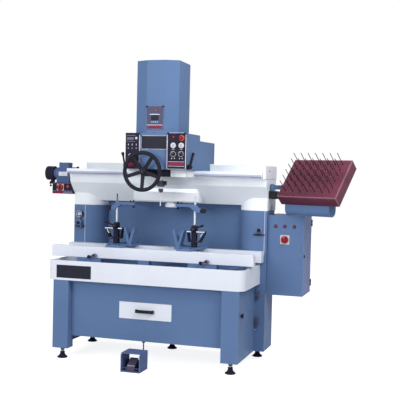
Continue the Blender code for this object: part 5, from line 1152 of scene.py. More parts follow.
def add_side_fittings(edges):
    """Clamp knob on the base's right side, and two blocks and a plug behind it."""
    side = extent("base_cabinet")[1].x
    wall = extent("rear_body")[0].y
    fittings = Piece("base_side_fittings")
    y, z = SIDE_KNOB
    fittings.add("dark_steel", rod((side - 0.001, y, z), (side + 0.008, y, z), 0.008))
    knob = star_outline(SIDE_KNOB, 0.016, 5, 0.004)
    fittings.add("black_plastic", prism(knob, side + 0.006, side + 0.020, "YZ", 0.002))
    front = wall - 0.035
    for low, high in SIDE_BLOCKS:
        corner = (side + 0.034, wall + 0.001, high)
        fittings.add("slate_film", block((side - 0.001, front, low), corner, 0.003))
        for share in (0.25, 0.75):
            place = (side + 0.017, front, low + (high - low) * share)
            fittings.add("dark_steel", screw(place, FRONT, edges.screw))
    plug = (side + 0.005, wall + 0.001, SIDE_PLUG_Z)
    fittings.add("white_plastic", rod(plug, (plug[0], wall - 0.003, plug[2]), 0.0045))
    fittings.fit(body="frame", slot="black_plastic")


class MACHINE_OT_base(bpy.types.Operator):
    """Dress the base: its shell, front sheet, drawer, handle and side fittings"""

    bl_idname = "machine.base"
    bl_label = "Base"

    def execute(self, context):
        edges = context.scene.machine_edges
        dress("base_shell", "base_cabinet", "blue_enamel", edges.sheet, 3)
        dress("front_sheet", "front_panel", "blue_enamel", edges.thin)
        dress("drawer_box", "drawer", "pale_enamel", edges.thin)
        add_drawer_handle()
        add_side_fittings(edges)
        return {"FINISHED"}


def add_tray_plate():
    """Bare plate with a screw in each corner."""
    face = extent("chip_tray")[0].y
    plate = Piece("tray_plate")
    left, right, low, high = TRAY_PLATE
    corner = (right, face + 0.0004, high)
    plate.add("bare_plate", block((left, face - 0.002, low), corner, 0.0008))
    for x in (left + 0.008, right - 0.008):
        for z in (low + 0.008, high - 0.008):
            plate.add("dark_steel", screw((x, face - 0.002, z), FRONT, 0.0022))
    plate.fit(body="frame", slot="black_plastic")


class MACHINE_OT_tray(bpy.types.Operator):
    """Dress the chip tray and the bare plate on its front"""

    bl_idname = "machine.tray"
    bl_label = "Chip Tray"

    def execute(self, context):
        edges = context.scene.machine_edges
        dress("tray_shell", "chip_tray", "pale_enamel", edges.thin, 3)
        add_tray_plate()
        return {"FINISHED"}


def add_rail_clamp(side, face):
    """Clamp on the front rail: hub, lever and ball grip."""
    node = "rail_clamp_" + side
    high = extent(node)[1]
    x = high.x - CLAMP_HUB
    z = high.z - CLAMP_HUB
    arm = Vector((x, face - 0.0227, z))
    tip = arm + Vector((-0.042, 0, -0.010))
    hub = [(0, 0.026), (0.0085, 0.026), (0.0085, 0.0335), (0.0125, 0.0335)]
    hub += [(CLAMP_HUB, 0.032), (CLAMP_HUB, 0.008), (0.0115, 0.006), (0.0115, 0.0006)]
    hub.append((0, 0.0006))
    clamp = Piece("rail_clamp_handle_" + side)
    clamp.add("grey_plastic", lathe(hub, (x, face, z), FRONT, 28))
    clamp.add("black_plastic", disc(x, face - 0.0258, z, 0.0083, 0.002))
    clamp.add("dark_steel", rod(arm.lerp(tip, 0.2), tip, 0.0058, 0.005))
    clamp.add("black_plastic", ball(tip, 0.012))
    clamp.fit(node)


class MACHINE_OT_bed(bpy.types.Operator):
    """Dress the bed rails, their ladder frame and the rail clamps"""

    bl_idname = "machine.bed"
    bl_label = "Bed"

    def execute(self, context):
        edges = context.scene.machine_edges
        dress("front_rail_slab", "front_rail", "pale_enamel", edges.slab, 3)
        dress("rear_rail_slab", "rear_rail", "pale_enamel", edges.slab, 3)
        dress("bed_ladder", "bed_frame", "blue_enamel", edges.sheet)
        face = extent("front_rail")[0].y
        for side in ("left", "right"):
            add_rail_clamp(side, face)
        return {"FINISHED"}


# Rear body and beam

BEAM_PROFILE = (
    (0.378, 1.310),
    (0.392, 1.245),
    (0.460, 1.165),
    (0.507, 1.110),
    (0.600, 1.110),
    (0.600, 1.0733),
    (0.708, 1.0733),
    (0.708, 1.396),
    (0.668, 1.396),
    (0.668, 1.310),
)
CAP_TOP = 1.165
KEEL_TOP = 1.110
TOWER_FLAT = 0.090
TOWER_CORNER = 0.130
RECESS_DEPTH = 0.140
CAP_INSET = 0.002  # keeps the cap's back off the beam's
GAUGE_RADIUS = 0.024
NEEDLE_TURN = math.degrees(2.6)
LIGHT_TOP_Y = 0.4157
LIGHT_BOTTOM = 1.118


def add_beads():
    """Pale beads that run up the towers' folds; their pale tone is a painted highlight."""
    low, high = extent("rear_body")
    beads = Piece("tower_beads")
    bottom = extent("rear_rail")[1].z - 0.030
    for x in (low.x + TOWER_FLAT, high.x - 0.016):
        start = Vector((x, low.y, bottom))
        end = Vector((x, low.y, high.z - 0.001))
        beads.add("bead_enamel", flat_bar(start, end, RIGHT, (0.0055, 0.003), edge=0.001))
    beads.fit(body="frame", slot="blue_paint")


def add_air_set():
    """Gauge over a painted regulator, on a manifold with dark fittings."""
    low, high = extent("air_unit")
    x, middle, _ = centre_of("air_unit")
    face, back = low.y, high.y
    gauge_z = high.z - GAUGE_RADIUS
    top = low.z + 0.058
    air = Piece("air_set")
    corner = (x + 0.017, back, top)
    air.add("blue_enamel", block((x - 0.017, face + 0.002, low.z), corner, 0.003))
    air.add("blue_enamel", rod((x, middle, top - 0.004), (x, middle, gauge_z), 0.007))
    level = low.z + 0.004
    front = back - 0.018
    air.add("black_plastic", block((low.x, front, level), (high.x, back, level + 0.016), 0.002))
    corner = (x + 0.014, face + 0.010, level + 0.013)
    air.add("black_plastic", block((x - 0.021, face, level - 0.001), corner, 0.003))
    nut = mm((0, 8), (5, 8), (6.5, 6), (6.5, 0), (0, 0))
    for shift in (-0.027, 0.026):
        place = (x + shift, front + 0.001, level + 0.008)
        air.add("dark_steel", lathe(nut, place, FRONT, 6))
    add_gauge(air, Vector((x, face, gauge_z)))
    air.fit("air_unit")
    add_turn_knob("regulator_grip", "regulator_knob", 0.014, "white_plastic")


def add_gauge(air, face):
    """Round gauge: bright rim, dark dial with marks and a white middle."""
    x, y, z = face
    case = [(0, -0.0035), (0.0195, -0.0035), (0.0205, -0.0005), (0.0236, -0.0005)]
    case += [(GAUGE_RADIUS, -0.002), (GAUGE_RADIUS, -0.0255), (0.022, -0.0275), (0, -0.0275)]
    air.add("black_plastic", lathe(case, face, FRONT, 36))
    rim = face + Vector((0, 0.0016, 0))
    air.add("satin_steel", ring(rim, FRONT, 0.0222, 0.0018, 0.0015, 40, 10))
    dial = y + 0.0035
    air.add("white_plastic", disc(x, dial, z, 0.0122, 0.0008, 32))
    marks = dial_marks(Vector((x, dial, z)), 11, 0.0150, 0.0035, (0.0011, 0.0005))
    air.add("white_plastic", *marks)
    out = front_ray(NEEDLE_TURN)
    middle = Vector((x, dial - 0.0011, z))
    start, end = middle - out * 0.005, middle + out * 0.014
    needle = flat_bar(start, end, out.cross(FRONT), (0.002, 0.0006), (0.0008, 0.0006), 0)
    air.add("black_plastic", needle, disc(x, dial - 0.0008, z, 0.0030, 0.0012, 12))


def add_valve():
    """Valve knob with a row of fittings below."""
    add_turn_knob("valve_grip", "valve_knob", 0.015, "panel_frame")
    x = centre_of("valve_knob")[0]
    face = extent("rear_body")[0].y
    z = extent("valve_knob")[0].z - 0.016
    nut = mm((0, 10), (5, 10), (6, 9), (6, 0), (0, 0))
    fittings = Piece("valve_fittings")
    bar = (x + 0.022, face + 0.0005, z + 0.006)
    fittings.add("black_plastic", block((x - 0.024, face - 0.008, z - 0.006), bar, 0.002))
    for shift in (-0.034, -0.014, 0.006, 0.034):
        fittings.add("dark_steel", lathe(nut, (x + shift, face + 0.0005, z), FRONT, 6))
        start = (x + shift, face - 0.009, z)
        fittings.add("black_plastic", rod(start, (x + shift, face - 0.014, z), 0.004))
    fittings.fit(body="frame", slot="dark_steel")


def add_turn_knob(name, node, radius, collar):
    """Lobed hand knob on a face that looks to the front, over a pale collar."""
    low, high = extent(node)
    x, _, z = centre_of(node)
    knob = Piece(name)
    back = high.y - (high.y - low.y) * 0.35
    outline = star_outline((x, z), radius, 8, radius * 0.12, 6)
    knob.add("black_plastic", prism(outline, low.y + 0.001, back, "XZ"))
    edge = radius * 0.98
    skirt = [(0, 0.006), (radius * 0.8, 0.006), (edge, 0.004), (edge, 0.0), (0, 0.0)]
    knob.add(collar, lathe(skirt, (x, high.y, z), FRONT, 28))
    knob.add("black_plastic", disc(x, low.y + 0.0012, z, radius * 0.6, 0.0008, 24))
    knob.fit(node)


class MACHINE_OT_body(bpy.types.Operator):
    """Dress the rear body, the air set on its left tower and the valve on its right tower"""

    bl_idname = "machine.body"
    bl_label = "Rear Body"

    def execute(self, context):
        edges = context.scene.machine_edges
        dress("rear_shell", "rear_body", "blue_enamel", edges.sheet, 3)
        add_beads()
        add_air_set()
        add_valve()
        return {"FINISHED"}


def cap_outline():
    """Plan of the towers and the recess between them, seen from above."""
    low, high = extent("rear_body")
    half, front = high.x, low.y
    turn_x = half - TOWER_FLAT
    turn_y = front + TOWER_CORNER
    wall = front + RECESS_DEPTH
    inner = turn_x - TOWER_CORNER
    left = arc((-turn_x, turn_y), TOWER_CORNER, -90, 0, 18)
    right = arc((turn_x, turn_y), TOWER_CORNER, 180, 270, 18)
    back = high.y - CAP_INSET
    middle = [(-inner, wall), (inner, wall)]
    return [(-half, front), *left, *middle, *right, (half, front), (half, back), (-half, back)]


def add_beam_casting(edges):
    """Beam on its towers' caps, with the right end plate and the keel's blue strip."""
    low, high = extent("beam")
    beam = Piece("beam_casting")
    beam.add("white_enamel", prism(BEAM_PROFILE, low.x, -low.x, "YZ", edges.casting))
    beam.add("white_enamel", prism(cap_outline(), low.z, CAP_TOP, "XY", edges.casting))
    plate_low = (high.x - 0.023, 0.345, 1.300)
    beam.add("white_enamel", block(plate_low, (high.x, 0.705, 1.393), edges.slab))
    slot_low = (high.x - 0.0005, 0.454, 1.3505)
    beam.add("black_plastic", block(slot_low, (high.x + 0.0008, 0.480, 1.3595), 0.0003))
    body = extent("rear_body")
    inner = body[1].x - TOWER_FLAT - TOWER_CORNER
    wall = body[0].y + RECESS_DEPTH
    strip_low = (-inner, wall - 0.0015, low.z + 0.001)
    beam.add("blue_enamel", block(strip_low, (inner, wall + 0.001, KEEL_TOP - 0.0005), 0.0004))
    beam.fit("beam", fold=FOLD_ANGLE)


def add_slideway(edges):
    """Slideway with a painted shadow line and a painted shade band along its front."""
    low, high = extent("front_slideway")
    slideway = cad_piece("slideway_slab", "front_slideway", "white_enamel", edges.slab, 3)
    # The dark line at the bottom is a painted shadow, and the pale-grey band above it is a painted
    # shade
    shade_bands = (("grey_plastic", 0.0008, 0.0046), ("ground_strip", 0.0044, 0.0180))
    for finish, start, end in shade_bands:
        corner = (high.x - 0.004, low.y + 0.001, low.z + end)
        band = block((low.x + 0.004, low.y - 0.0006, low.z + start), corner, 0.0003)
        slideway.add(finish, band)
    slideway.fit("front_slideway")


def add_work_light(edges):
    """Hood on the beam's front with a glowing strip on its slope that paints its highlight, and a
    round lamp below.
    """
    low, high = extent("work_light")
    light = Piece("work_lamp")
    front = low.y
    top, bottom = high.z, LIGHT_BOTTOM
    shoulder = top - 0.026
    profile = [(LIGHT_TOP_Y, top), (front + 0.002, shoulder), (front, shoulder - 0.004)]
    profile += [(front, bottom + 0.008), (front + 0.008, bottom)]
    profile += [(0.4985, bottom), (0.4594, CAP_TOP)]
    shell = prism(profile, low.x, high.x, "YZ", 0)
    crown = []
    for edge in shell.edges:
        first, second = (vert.co for vert in edge.verts)
        if abs(first.x - second.x) < WELD and min(first.z, second.z) > shoulder - WELD:
            crown.append(edge)
    bmesh.ops.bevel(shell, geom=crown, offset=0.024, segments=6, profile=0.5, affect="EDGES")
    light.add("white_enamel", round_edges(shell, edges.slab))
    # Glowing strip on the hood's slope: a painted highlight for its lit top
    slope = Vector((front + 0.002 - LIGHT_TOP_Y, shoulder - top))
    out = Vector((slope.y, -slope.x)).normalized() * 0.0008
    start = Vector((LIGHT_TOP_Y, top)) + slope * 0.06
    end = start + slope * 0.90
    lens = prism((start, end, end + out, start + out), low.x + 0.020, high.x - 0.020, "YZ", 0)
    light.add("lit_lens", lens)
    dome = mm((0, -40), (44, -40), (48, -38), (48.5, -30), (45, -18), (37, -6), (30, 2), (0, 2))
    centre = (centre_of("work_light")[0] + 0.030, 0.452, bottom)
    light.add("frosted_lens", lathe(dome, centre, UP, 36))
    collar = (centre[0], centre[1], bottom - 0.004)
    light.add("panel_frame", ring(collar, UP, 0.0425, 0.002, 0.003))
    light.fit("work_light", fold=FOLD_ANGLE * 2)


def add_rest_bar():
    """Short steel bar with a ball end that lies on the slideway's left end."""
    z = extent("front_slideway")[1].z + 0.0042
    y = 0.372
    left, right = -0.754, -0.684
    bar = Piece("slideway_stop")
    bar.add("dark_steel", rod((left, y, z), (right, y, z), 0.0035))
    bar.add("black_plastic", ball((right, y, z + 0.003), 0.0072, (1.5, 1, 1)))
    foot = (left + 0.012, y + 0.010, z + 0.0045)
    bar.add("dark_steel", block((left, y - 0.010, z - 0.0042), foot, 0.001))
    bar.fit(body="frame", slot="dark_steel")


class MACHINE_OT_beam(bpy.types.Operator):
    """Dress the beam, its caps, its slideway and the work light"""

    bl_idname = "machine.beam"
    bl_label = "Beam"

    def execute(self, context):
        edges = context.scene.machine_edges
        add_beam_casting(edges)
        add_slideway(edges)
        add_work_light(edges)
        add_rest_bar()
        return {"FINISHED"}


# Spindle head

CARRIER_ENDS = (-0.060, 0.132)  # left and right of the carrier's dark middle
CARRIER_SLOT = 0.0165
CARRIER_LAP = 0.0015
BORE_STEPS = 36
WHEEL_Y = 0.030
WHEEL_RIM = 0.0135
WHEEL_SPOKES = 5


def add_carrier():
    """Casting under the cover, with a keyhole round the quill and pale ends."""
    low, high = extent("head_casting")
    quill_low, quill_high = extent("quill")
    x = quill_high.x - (quill_high.y - quill_low.y) / 2
    y = centre_of("quill")[1]
    bore = x - quill_low.x + 0.0012
    left, right = CARRIER_ENDS
    turn = math.asin(CARRIER_SLOT / bore)
    outline = [(left, low.y), (x - CARRIER_SLOT, low.y)]
    for i in range(BORE_STEPS + 1):
        t = turn + (FULL_TURN - 2 * turn) * i / BORE_STEPS
        outline.append((x - bore * math.sin(t), y - bore * math.cos(t)))
    outline += [(x + CARRIER_SLOT, low.y), (right, low.y), (right, high.y), (left, high.y)]
    carrier = Piece("spindle_carrier")
    carrier.add("cast_iron", prism(outline, low.z, high.z, "XY"))
    ends = ((low.x, left + CARRIER_LAP), (right - CARRIER_LAP, high.x - 0.015))
    for first, last in ends:
        end = block((first, low.y, low.z), (last, high.y, high.z), 0.003)
        carrier.add("white_enamel", end)
    carrier.fit("head_casting")


class MACHINE_OT_head(bpy.types.Operator):
    """Dress the head's cover, the column and the casting below"""

    bl_idname = "machine.head"
    bl_label = "Spindle Head"

    def execute(self, context):
        edges = context.scene.machine_edges
        dress("head_shell", "head_cover", "blue_enamel", edges.column, 2, FOLD_ANGLE)
        dress("column_shell", "column_cover", "blue_enamel", edges.column, 2, FOLD_ANGLE)
        add_carrier()
        return {"FINISHED"}


def add_facing_tool():
    """Grooved holder with a side clamp, a three-toothed cutter and its pilot."""
    low, high = extent("tool_holder")
    x, y, _ = centre_of("tool_holder")
    top = high.z
    base = (x, y, 0)
    holder = Piece("facing_tool")
    body = [(0, top - 0.010), (0.0215, top - 0.010), (0.0285, top - 0.015)]
    body += [(0.029, top - 0.018), (0.029, top - 0.025), (0.0265, top - 0.027)]
    body += [(0.0265, top - 0.030), (0.029, top - 0.032), (0.029, top - 0.046)]
    body += [(0.025, top - 0.052), (0, top - 0.052)]
    holder.add("dark_steel", lathe(body, base, UP, 36))
    holder.add("satin_steel", rod((x, y, top - 0.012), (x, y, top), 0.0165, steps=28))
    neck = top - 0.051
    holder.add("satin_steel", rod((x, y, neck), (x, y, neck - 0.017), 0.015, steps=28))
    cutter = neck - 0.016
    head = [(0, cutter), (0.016, cutter), (0.018, cutter - 0.003), (0.018, cutter - 0.012)]
    head += [(0.013, cutter - 0.026), (0, cutter - 0.026)]
    holder.add("dark_steel", lathe(head, base, UP, 28))
    for i in range(3):
        t = FULL_TURN * i / 3
        out = Vector((math.cos(t), math.sin(t), 0))
        start = Vector((x, y, cutter - 0.008)) + out * 0.015
        end = start - UP * 0.018
        tooth = flat_bar(start, end, out, (0.008, 0.004), (0.006, 0.004), 0.0006)
        holder.add("satin_steel", tooth)
    holder.add("satin_steel", rod((x, y, cutter - 0.024), (x, y, low.z), 0.004))
    side = (x + 0.026, y - 0.011, top - 0.040)
    holder.add("black_plastic", block(side, (x + 0.042, y + 0.011, top - 0.012), 0.002))
    holder.add("bright_steel", screw((x + 0.042, y, top - 0.026), RIGHT, 0.004))
    holder.fit("tool_holder")


class MACHINE_OT_spindle(bpy.types.Operator):
    """Dress the spindle's nose, the tool holder, the cutter and its pilot"""

    bl_idname = "machine.spindle"
    bl_label = "Spindle"

    def execute(self, context):
        dress("spindle_nose", "spindle", "satin_steel", 0.0006, 1)
        add_facing_tool()
        return {"FINISHED"}


def add_feed_wheel():
    """Wheel whose spokes lean forward from the hub to the rim."""
    low, high = extent("handwheel")
    radius = (high.z - low.z) / 2 - WHEEL_RIM
    x, _, z = centre_of("handwheel")
    centre = Vector((x, WHEEL_Y, z))
    seat = centre + Vector((0, 0.018, 0))
    wheel = Piece("feed_wheel")
    rim = ring(centre, FRONT, radius, WHEEL_RIM, WHEEL_RIM - 0.001, 88, 20)
    wheel.add("black_plastic", rim)
    for i in range(WHEEL_SPOKES):
        out = front_ray(-90 + i * 360 / WHEEL_SPOKES)
        across = out.cross(FRONT)
        start = seat + out * 0.018
        end = centre + out * (radius - 0.004)
        spoke = flat_bar(start, end, across, (0.028, 0.014), (0.024, 0.013), 0.004)
        wheel.add("black_plastic", spoke)
    hub = mm((0, 22), (18.5, 22), (20.5, 20), (20.5, 14), (26, 11), (26, -12), (22.5, -16))
    hub += mm((22.5, -21.5), (0, -21.5))
    wheel.add("black_plastic", lathe(hub, seat, FRONT, 32))
    wheel.add("black_enamel", disc(x, seat.y - 0.0215, z, 0.0150, 0.0022, 28))
    wheel.add("dark_steel", screw((x, seat.y - 0.0236, z), FRONT, 0.006))
    wheel.fit("handwheel")


class MACHINE_OT_handwheel(bpy.types.Operator):
    """Build the feed handwheel: rim, tapered spokes and hub"""

    bl_idname = "machine.handwheel"
    bl_label = "Handwheel"

    def execute(self, context):
        add_feed_wheel()
        return {"FINISHED"}


def add_head_lever(side_name, out, pivot, deep, lean, radius):
    """Lock lever: hub, leaning stem and knob."""
    lever = Piece("lock_lever_" + side_name)
    hub = [(0, deep), (0.013, deep), (0.0165, deep - 0.003), (0.017, deep - 0.006)]
    hub += [(0.017, 0.004), (0.0155, 0.0006), (0, 0.0006)]
    lever.add("black_plastic", lathe(hub, pivot, out, 24))
    lever.add("black_enamel", screw(pivot + out * (deep - 0.0005), out, 0.007))
    middle = pivot + out * deep * 0.6
    outward, back, rise = lean
    tip = middle + out * outward + Vector((0, back, rise))
    lever.add("black_plastic", rod(middle, tip, radius, radius * 0.8))
    form = mm(
        (0, -20), (6.2, -20), (8.5, -10), (10.8, 0), (11.2, 4), (9.5, 9), (5.5, 11.8), (0, 12.4)
    )
    lever.add("black_plastic", lathe(form, tip, tip - middle, 20))
    lever.fit(side_name + "_lever")


class MACHINE_OT_levers(bpy.types.Operator):
    """Build the lock levers at the head's two sides"""

    bl_idname = "machine.levers"
    bl_label = "Head Levers"

    def execute(self, context):
        cover_low, cover_high = extent("head_cover")
        left = Vector((cover_low.x, 0.112, 1.372))
        add_head_lever("left", -RIGHT, left, 0.016, (0.016, 0.0, 0.082), 0.0072)
        right = Vector((cover_high.x, 0.124, 1.370))
        add_head_lever("right", RIGHT, right, 0.030, (0.0, 0.064, 0.088), 0.0090)
        return {"FINISHED"}


# Control panels

# Left, right, low and high of the plates on the head's front
LEFT_PANEL = (-0.186, -0.080, 1.353, 1.599)
HEAD_PLATE = (-0.073, 0.119, 1.487, 1.582)
READOUT = (-0.038, 0.091, 1.624, 1.786)
PANEL_LAMP = (0.171, 1.572)
PUSH_BUTTONS = (("start_push", "start_button"), ("stop_push", "stop_button"))
DIALS = (("speed_dial", "speed_knob"), ("feed_dial", "feed_knob"))


def add_left_panel(face):
    """Panel with a small display, lamps and a red key."""
    left, right, low, high = LEFT_PANEL
    front = face - 0.004
    panel = Piece("left_panel")
    panel.add("panel_film", block((left, front, low), (right, face + SINK, high), 0.0008))
    cap_low = (left - CAP_LAP, front - CAP_PROUD, high - 0.011)
    cap_high = (right + 0.002, front + 0.002, high + CAP_LAP)
    panel.add("black_plastic", block(cap_low, cap_high, 0.001))
    edge = (right, face, high - 0.012)
    panel.add("panel_frame", block((right - 0.0045, front - 0.0014, low), edge, 0.0005, 1))
    fields = (
        (-0.147, 1.581, 0.064, 0.005, 0.0005),
        (-0.151, 1.560, 0.050, 0.018, 0.001),
        (-0.147, 1.540, 0.064, 0.004, 0.0005),
    )
    for x, z, wide, tall, proud in fields:
        panel.add("grey_plastic", dash(x, front, z, wide, tall, proud))
    panel.add("white_plastic", disc(-0.107, front, 1.563, 0.0085, 0.001, 28))
    marks = ((-0.165, "blue_lamp"), (-0.137, "white_plastic"), (-0.106, "blue_lamp"))
    for x, finish in marks:
        panel.add("white_plastic", dash(x, front, 1.518, 0.004, 0.012))
        panel.add(finish, disc(x, front, 1.493, 0.0045, 0.0016, 14))
    panel.add("red_plastic", disc(-0.137, front - 0.0012, 1.493, 0.0036, 0.0016, 14))
    start, end = (-0.163, front - 0.001, 1.444), (-0.149, front - 0.001, 1.457)
    stroke = flat_bar(start, end, (0.68, 0, -0.73), (0.0035, 0.002), edge=0.0004)
    panel.add("panel_frame", stroke)
    outline = rounded(-0.160, -0.120, 1.366, 1.392, 0.005)
    panel.add("red_film", prism(outline, front - 0.001, front + 0.0003, "XZ", 0.0004))
    panel.fit(body="head", slot="grey_housing")


def add_head_plate(face):
    """Bare plate between the two panels."""
    plate = Piece("head_plate")
    left, right, _, high = HEAD_PLATE
    front = framed_plate(plate, HEAD_PLATE, face, 0.002, "bare_plate")
    corner_caps(plate, left, right, high, front, 0.008)
    plate.fit(body="head", slot="grey_housing")


def add_readout(face):
    """Readout on the column: lamp, window, keys and a red band."""
    left, right, _, high = READOUT
    readout = Piece("column_readout")
    front = framed_plate(readout, READOUT, face, 0.004, "slate_film", "pale_blue_enamel")
    corner_caps(readout, left, right, high, front, 0.012)
    middle = (left + right) / 2
    readout.add("lamp_lens", disc(middle + 0.006, front, 1.753, 0.0085, 0.004))
    readout.add("panel_frame", dash(middle, front, 1.7275, 0.076, 0.0045))
    window = (middle + 0.026, front + 0.001, 1.720)
    readout.add("black_plastic", block((middle - 0.026, front - 0.003, 1.688), window))
    readout.add("bare_plate", dash(middle, front - 0.003, 1.704, 0.042, 0.022, 0.0006))
    for i in range(4):
        x = middle - 0.021 + i * 0.014
        readout.add("blue_lamp", dash(x, front, 1.675, 0.009, 0.010, 0.0016))
    readout.add("red_film", dash(middle + 0.002, front, 1.640, 0.088, 0.018))
    readout.add("panel_frame", dash(middle, front, 1.654, 0.118, 0.003))
    readout.fit(body="head", slot="grey_housing")


def add_right_panel():
    """Panel's face with the rings and marks round its controls."""
    low, high = extent("right_panel")
    panel = cad_piece("right_panel_face", "right_panel", "panel_film", 0.0008, 1)
    front = low.y
    for x0, x1, z0, z1 in frame_bars(low.x, high.x, low.z, high.z):
        corner = (x1 + 0.0005, front + 0.006, z1)
        near = (x0 - 0.0005, front - FRAME_PROUD, z0)
        panel.add("panel_frame", block(near, corner, 0.0005, 1))
    corner_caps(panel, low.x, high.x, high.z, front, 0.015)
    x, _, z = centre_of("emergency_stop")
    collar = mm((10.5, 1.8), (19, 1.8), (20, 1), (20, 0), (10.5, 0))
    panel.add("orange_plastic", lathe(collar, (x, front, z), FRONT, 32, closed=True))
    lamp = mm((0, 6), (5, 5.2), (7.5, 3), (8, 0), (0, 0))
    place = (PANEL_LAMP[0], front, PANEL_LAMP[1])
    panel.add("lamp_lens", lathe(lamp, place, FRONT, 20))
    panel.add("black_plastic", ring(place, FRONT, 0.0086, 0.0012, 0.0012))
    bezel = mm((15.3, 2.2), (18, 2.2), (19.5, 1), (19.5, 0), (15.3, 0))
    for _, node in PUSH_BUTTONS:
        x, _, z = centre_of(node)
        panel.add("white_plastic", lathe(bezel, (x, front, z), FRONT, 36, closed=True))
        panel.add("white_plastic", dash(x, front, z - 0.026, 0.018, 0.0025))
    for _, node in DIALS:
        x, _, z = centre_of(node)
        panel.add("panel_frame", ring((x, front, z), FRONT, 0.0172, 0.0015, 0.0009))
        centre = Vector((x, front - 0.0003, z))
        marks = dial_marks(centre, 9, 0.0198, 0.003, (0.0012, 0.0008))
        panel.add("white_plastic", *marks)
        for shift in (-0.010, 0.010):
            panel.add("white_plastic", dash(x + shift, front, z - 0.030, 0.006, 0.007))
    middle = centre_of("right_panel")[0]
    panel.add("red_film", dash(middle, front, 1.389, 0.112, 0.020))
    for z in (1.404, 1.374):
        panel.add("panel_frame", dash(middle, front, z, 0.116, 0.0025))
    panel.fit("right_panel")


class MACHINE_OT_panels(bpy.types.Operator):
    """Build the control panels on the head and the readout on the column"""

    bl_idname = "machine.panels"
    bl_label = "Control Panels"

    def execute(self, context):
        face = extent("head_cover")[0].y
        add_left_panel(face)
        add_head_plate(face)
        add_readout(face)
        add_right_panel()
        return {"FINISHED"}


def add_stop_button(face):
    """Mushroom button."""
    x, _, z = centre_of("emergency_stop")
    cap = mm((0, 22), (7, 21.6), (11.5, 20.2), (14.5, 17.2), (15.8, 13.5), (15.6, 11.2), (14, 10))
    cap += mm((8.8, 10), (8.8, -7.8), (0, -7.8))
    stop = Piece("stop_mushroom").add("red_plastic", lathe(cap, (x, face, z), FRONT, 36))
    stop.fit("emergency_stop")


def add_dial(name, node, face):
    """Fluted knob with a pointer."""
    x, _, z = centre_of(node)
    base = face - SWITCH_SEAT
    skirt = mm((0, 4), (12.8, 4), (13, 3), (13, 0), (0, 0))
    dial = Piece(name).add("black_plastic", lathe(skirt, (x, base, z), FRONT, 28))
    outline = star_outline((x, z), 0.0116, 16, 0.0008, 4)
    dial.add("black_plastic", prism(outline, base - 0.0178, base - 0.003, "XZ", 0.0012))
    dial.add("white_plastic", dash(x, base - 0.0178, z + 0.006, 0.0016, 0.009))
    dial.fit(node)


def add_push_buttons(face):
    """White push buttons with a grey ring."""
    cap = mm((0, 6.2), (9, 6.6), (12.5, 7), (14.2, 6.2), (14.8, 4.5), (14.8, -7.8), (0, -7.8))
    for name, node in PUSH_BUTTONS:
        x, _, z = centre_of(node)
        push = Piece(name).add("white_plastic", lathe(cap, (x, face, z), FRONT, 32))
        mark = ring((x, face - 0.0066, z), FRONT, 0.0062, 0.0014, 0.0007, 28, 8)
        push.add("grey_plastic", mark).fit(node)


class MACHINE_OT_buttons(bpy.types.Operator):
    """Build the panel's stop button, its two push buttons and its two knobs"""

    bl_idname = "machine.buttons"
    bl_label = "Buttons and Knobs"

    def execute(self, context):
        face = extent("right_panel")[0].y
        add_stop_button(face)
        add_push_buttons(face)
        for name, node in DIALS:
            add_dial(name, node, face)
        return {"FINISHED"}


# Electric cabinet

CABINET_LAMPS = (0.808, 0.873, 0.941)
CABINET_LAMP_Z = 0.970
MAIN_SWITCH = (0.874, 0.876)
DOOR_HINGES = (0.985, 0.547)
HINGE_HALVES = ((-0.024, -0.001), (0.001, 0.024))
VENT_ROWS = 2
VENT_HOLES = 9


def add_cabinet_lamp(shell, place):
    """Red lamp in a black bezel."""
    bezel = mm((7.5, 4), (10.5, 4), (12, 2), (12, 0), (7.5, 0))
    shell.add("black_plastic", lathe(bezel, place, FRONT, 28, closed=True))
    dome = mm((0, 11), (4, 10.4), (7, 8.2), (8.5, 5), (8.5, 0), (0, 0))
    shell.add("lamp_lens", lathe(dome, place, FRONT, 24))


def add_cabinet_door(edges):
    """Side door with hinges, a lock and vent holes."""
    low, high = extent("cabinet_door")
    # Paler blue: a painted lighter tone of the lit side
    finish = "pale_blue_enamel"
    door = cad_piece("cabinet_door_leaf", "cabinet_door", finish, edges.sheet, 3)
    face = high.x
    corner = (face + 0.0003, low.y + 0.006, high.z)
    door.add("blue_enamel", block((low.x, low.y - 0.0003, low.z), corner, 0.001))
    flange = (face + 0.0015, high.y, low.z + 0.010)
    door.add(finish, block((face - 0.004, low.y, low.z), flange, 0.001))
    for z in DOOR_HINGES:
        for start, end in HINGE_HALVES:
            base = (face + 0.003, high.y - 0.006, z + start)
            door.add("black_plastic", rod(base, (base[0], base[1], z + end), 0.0055))
    lock = Vector((face, low.y + 0.040, 0.760))
    barrel = mm((0, 4), (6, 4), (7, 6), (10, 6), (12, 4), (12, 0), (0, 0))
    door.add("dark_steel", lathe(barrel, lock, RIGHT, 24))
    key_low = lock + Vector((0.003, -0.001, -0.004))
    door.add("bright_steel", block(key_low, lock + Vector((0.0046, 0.001, 0.004)), 0.0003))
    hole = mm((0, 0.4), (3.5, 0.4), (3.5, 0), (0, 0))
    for i in range(VENT_HOLES):
        for row in range(VENT_ROWS):
            place = (face, low.y + 0.150 + row * 0.016, 0.640 + i * 0.026)
            door.add("black_plastic", lathe(hole, place, RIGHT, 10))
    door.fit("cabinet_door")


def add_cabinet_shell(edges):
    """Cabinet with its lamps and the main switch's plate."""
    face = extent("electric_cabinet")[0].y
    shell = cad_piece("cabinet_shell", "electric_cabinet", "blue_enamel", edges.sheet, 3)
    for x in CABINET_LAMPS:
        add_cabinet_lamp(shell, (x, face, CABINET_LAMP_Z))
    x, z = MAIN_SWITCH
    shell.add("cream_plastic", switch_plate(x, z, 0.033, 0.033, 0.006, face))
    shell.fit("electric_cabinet")


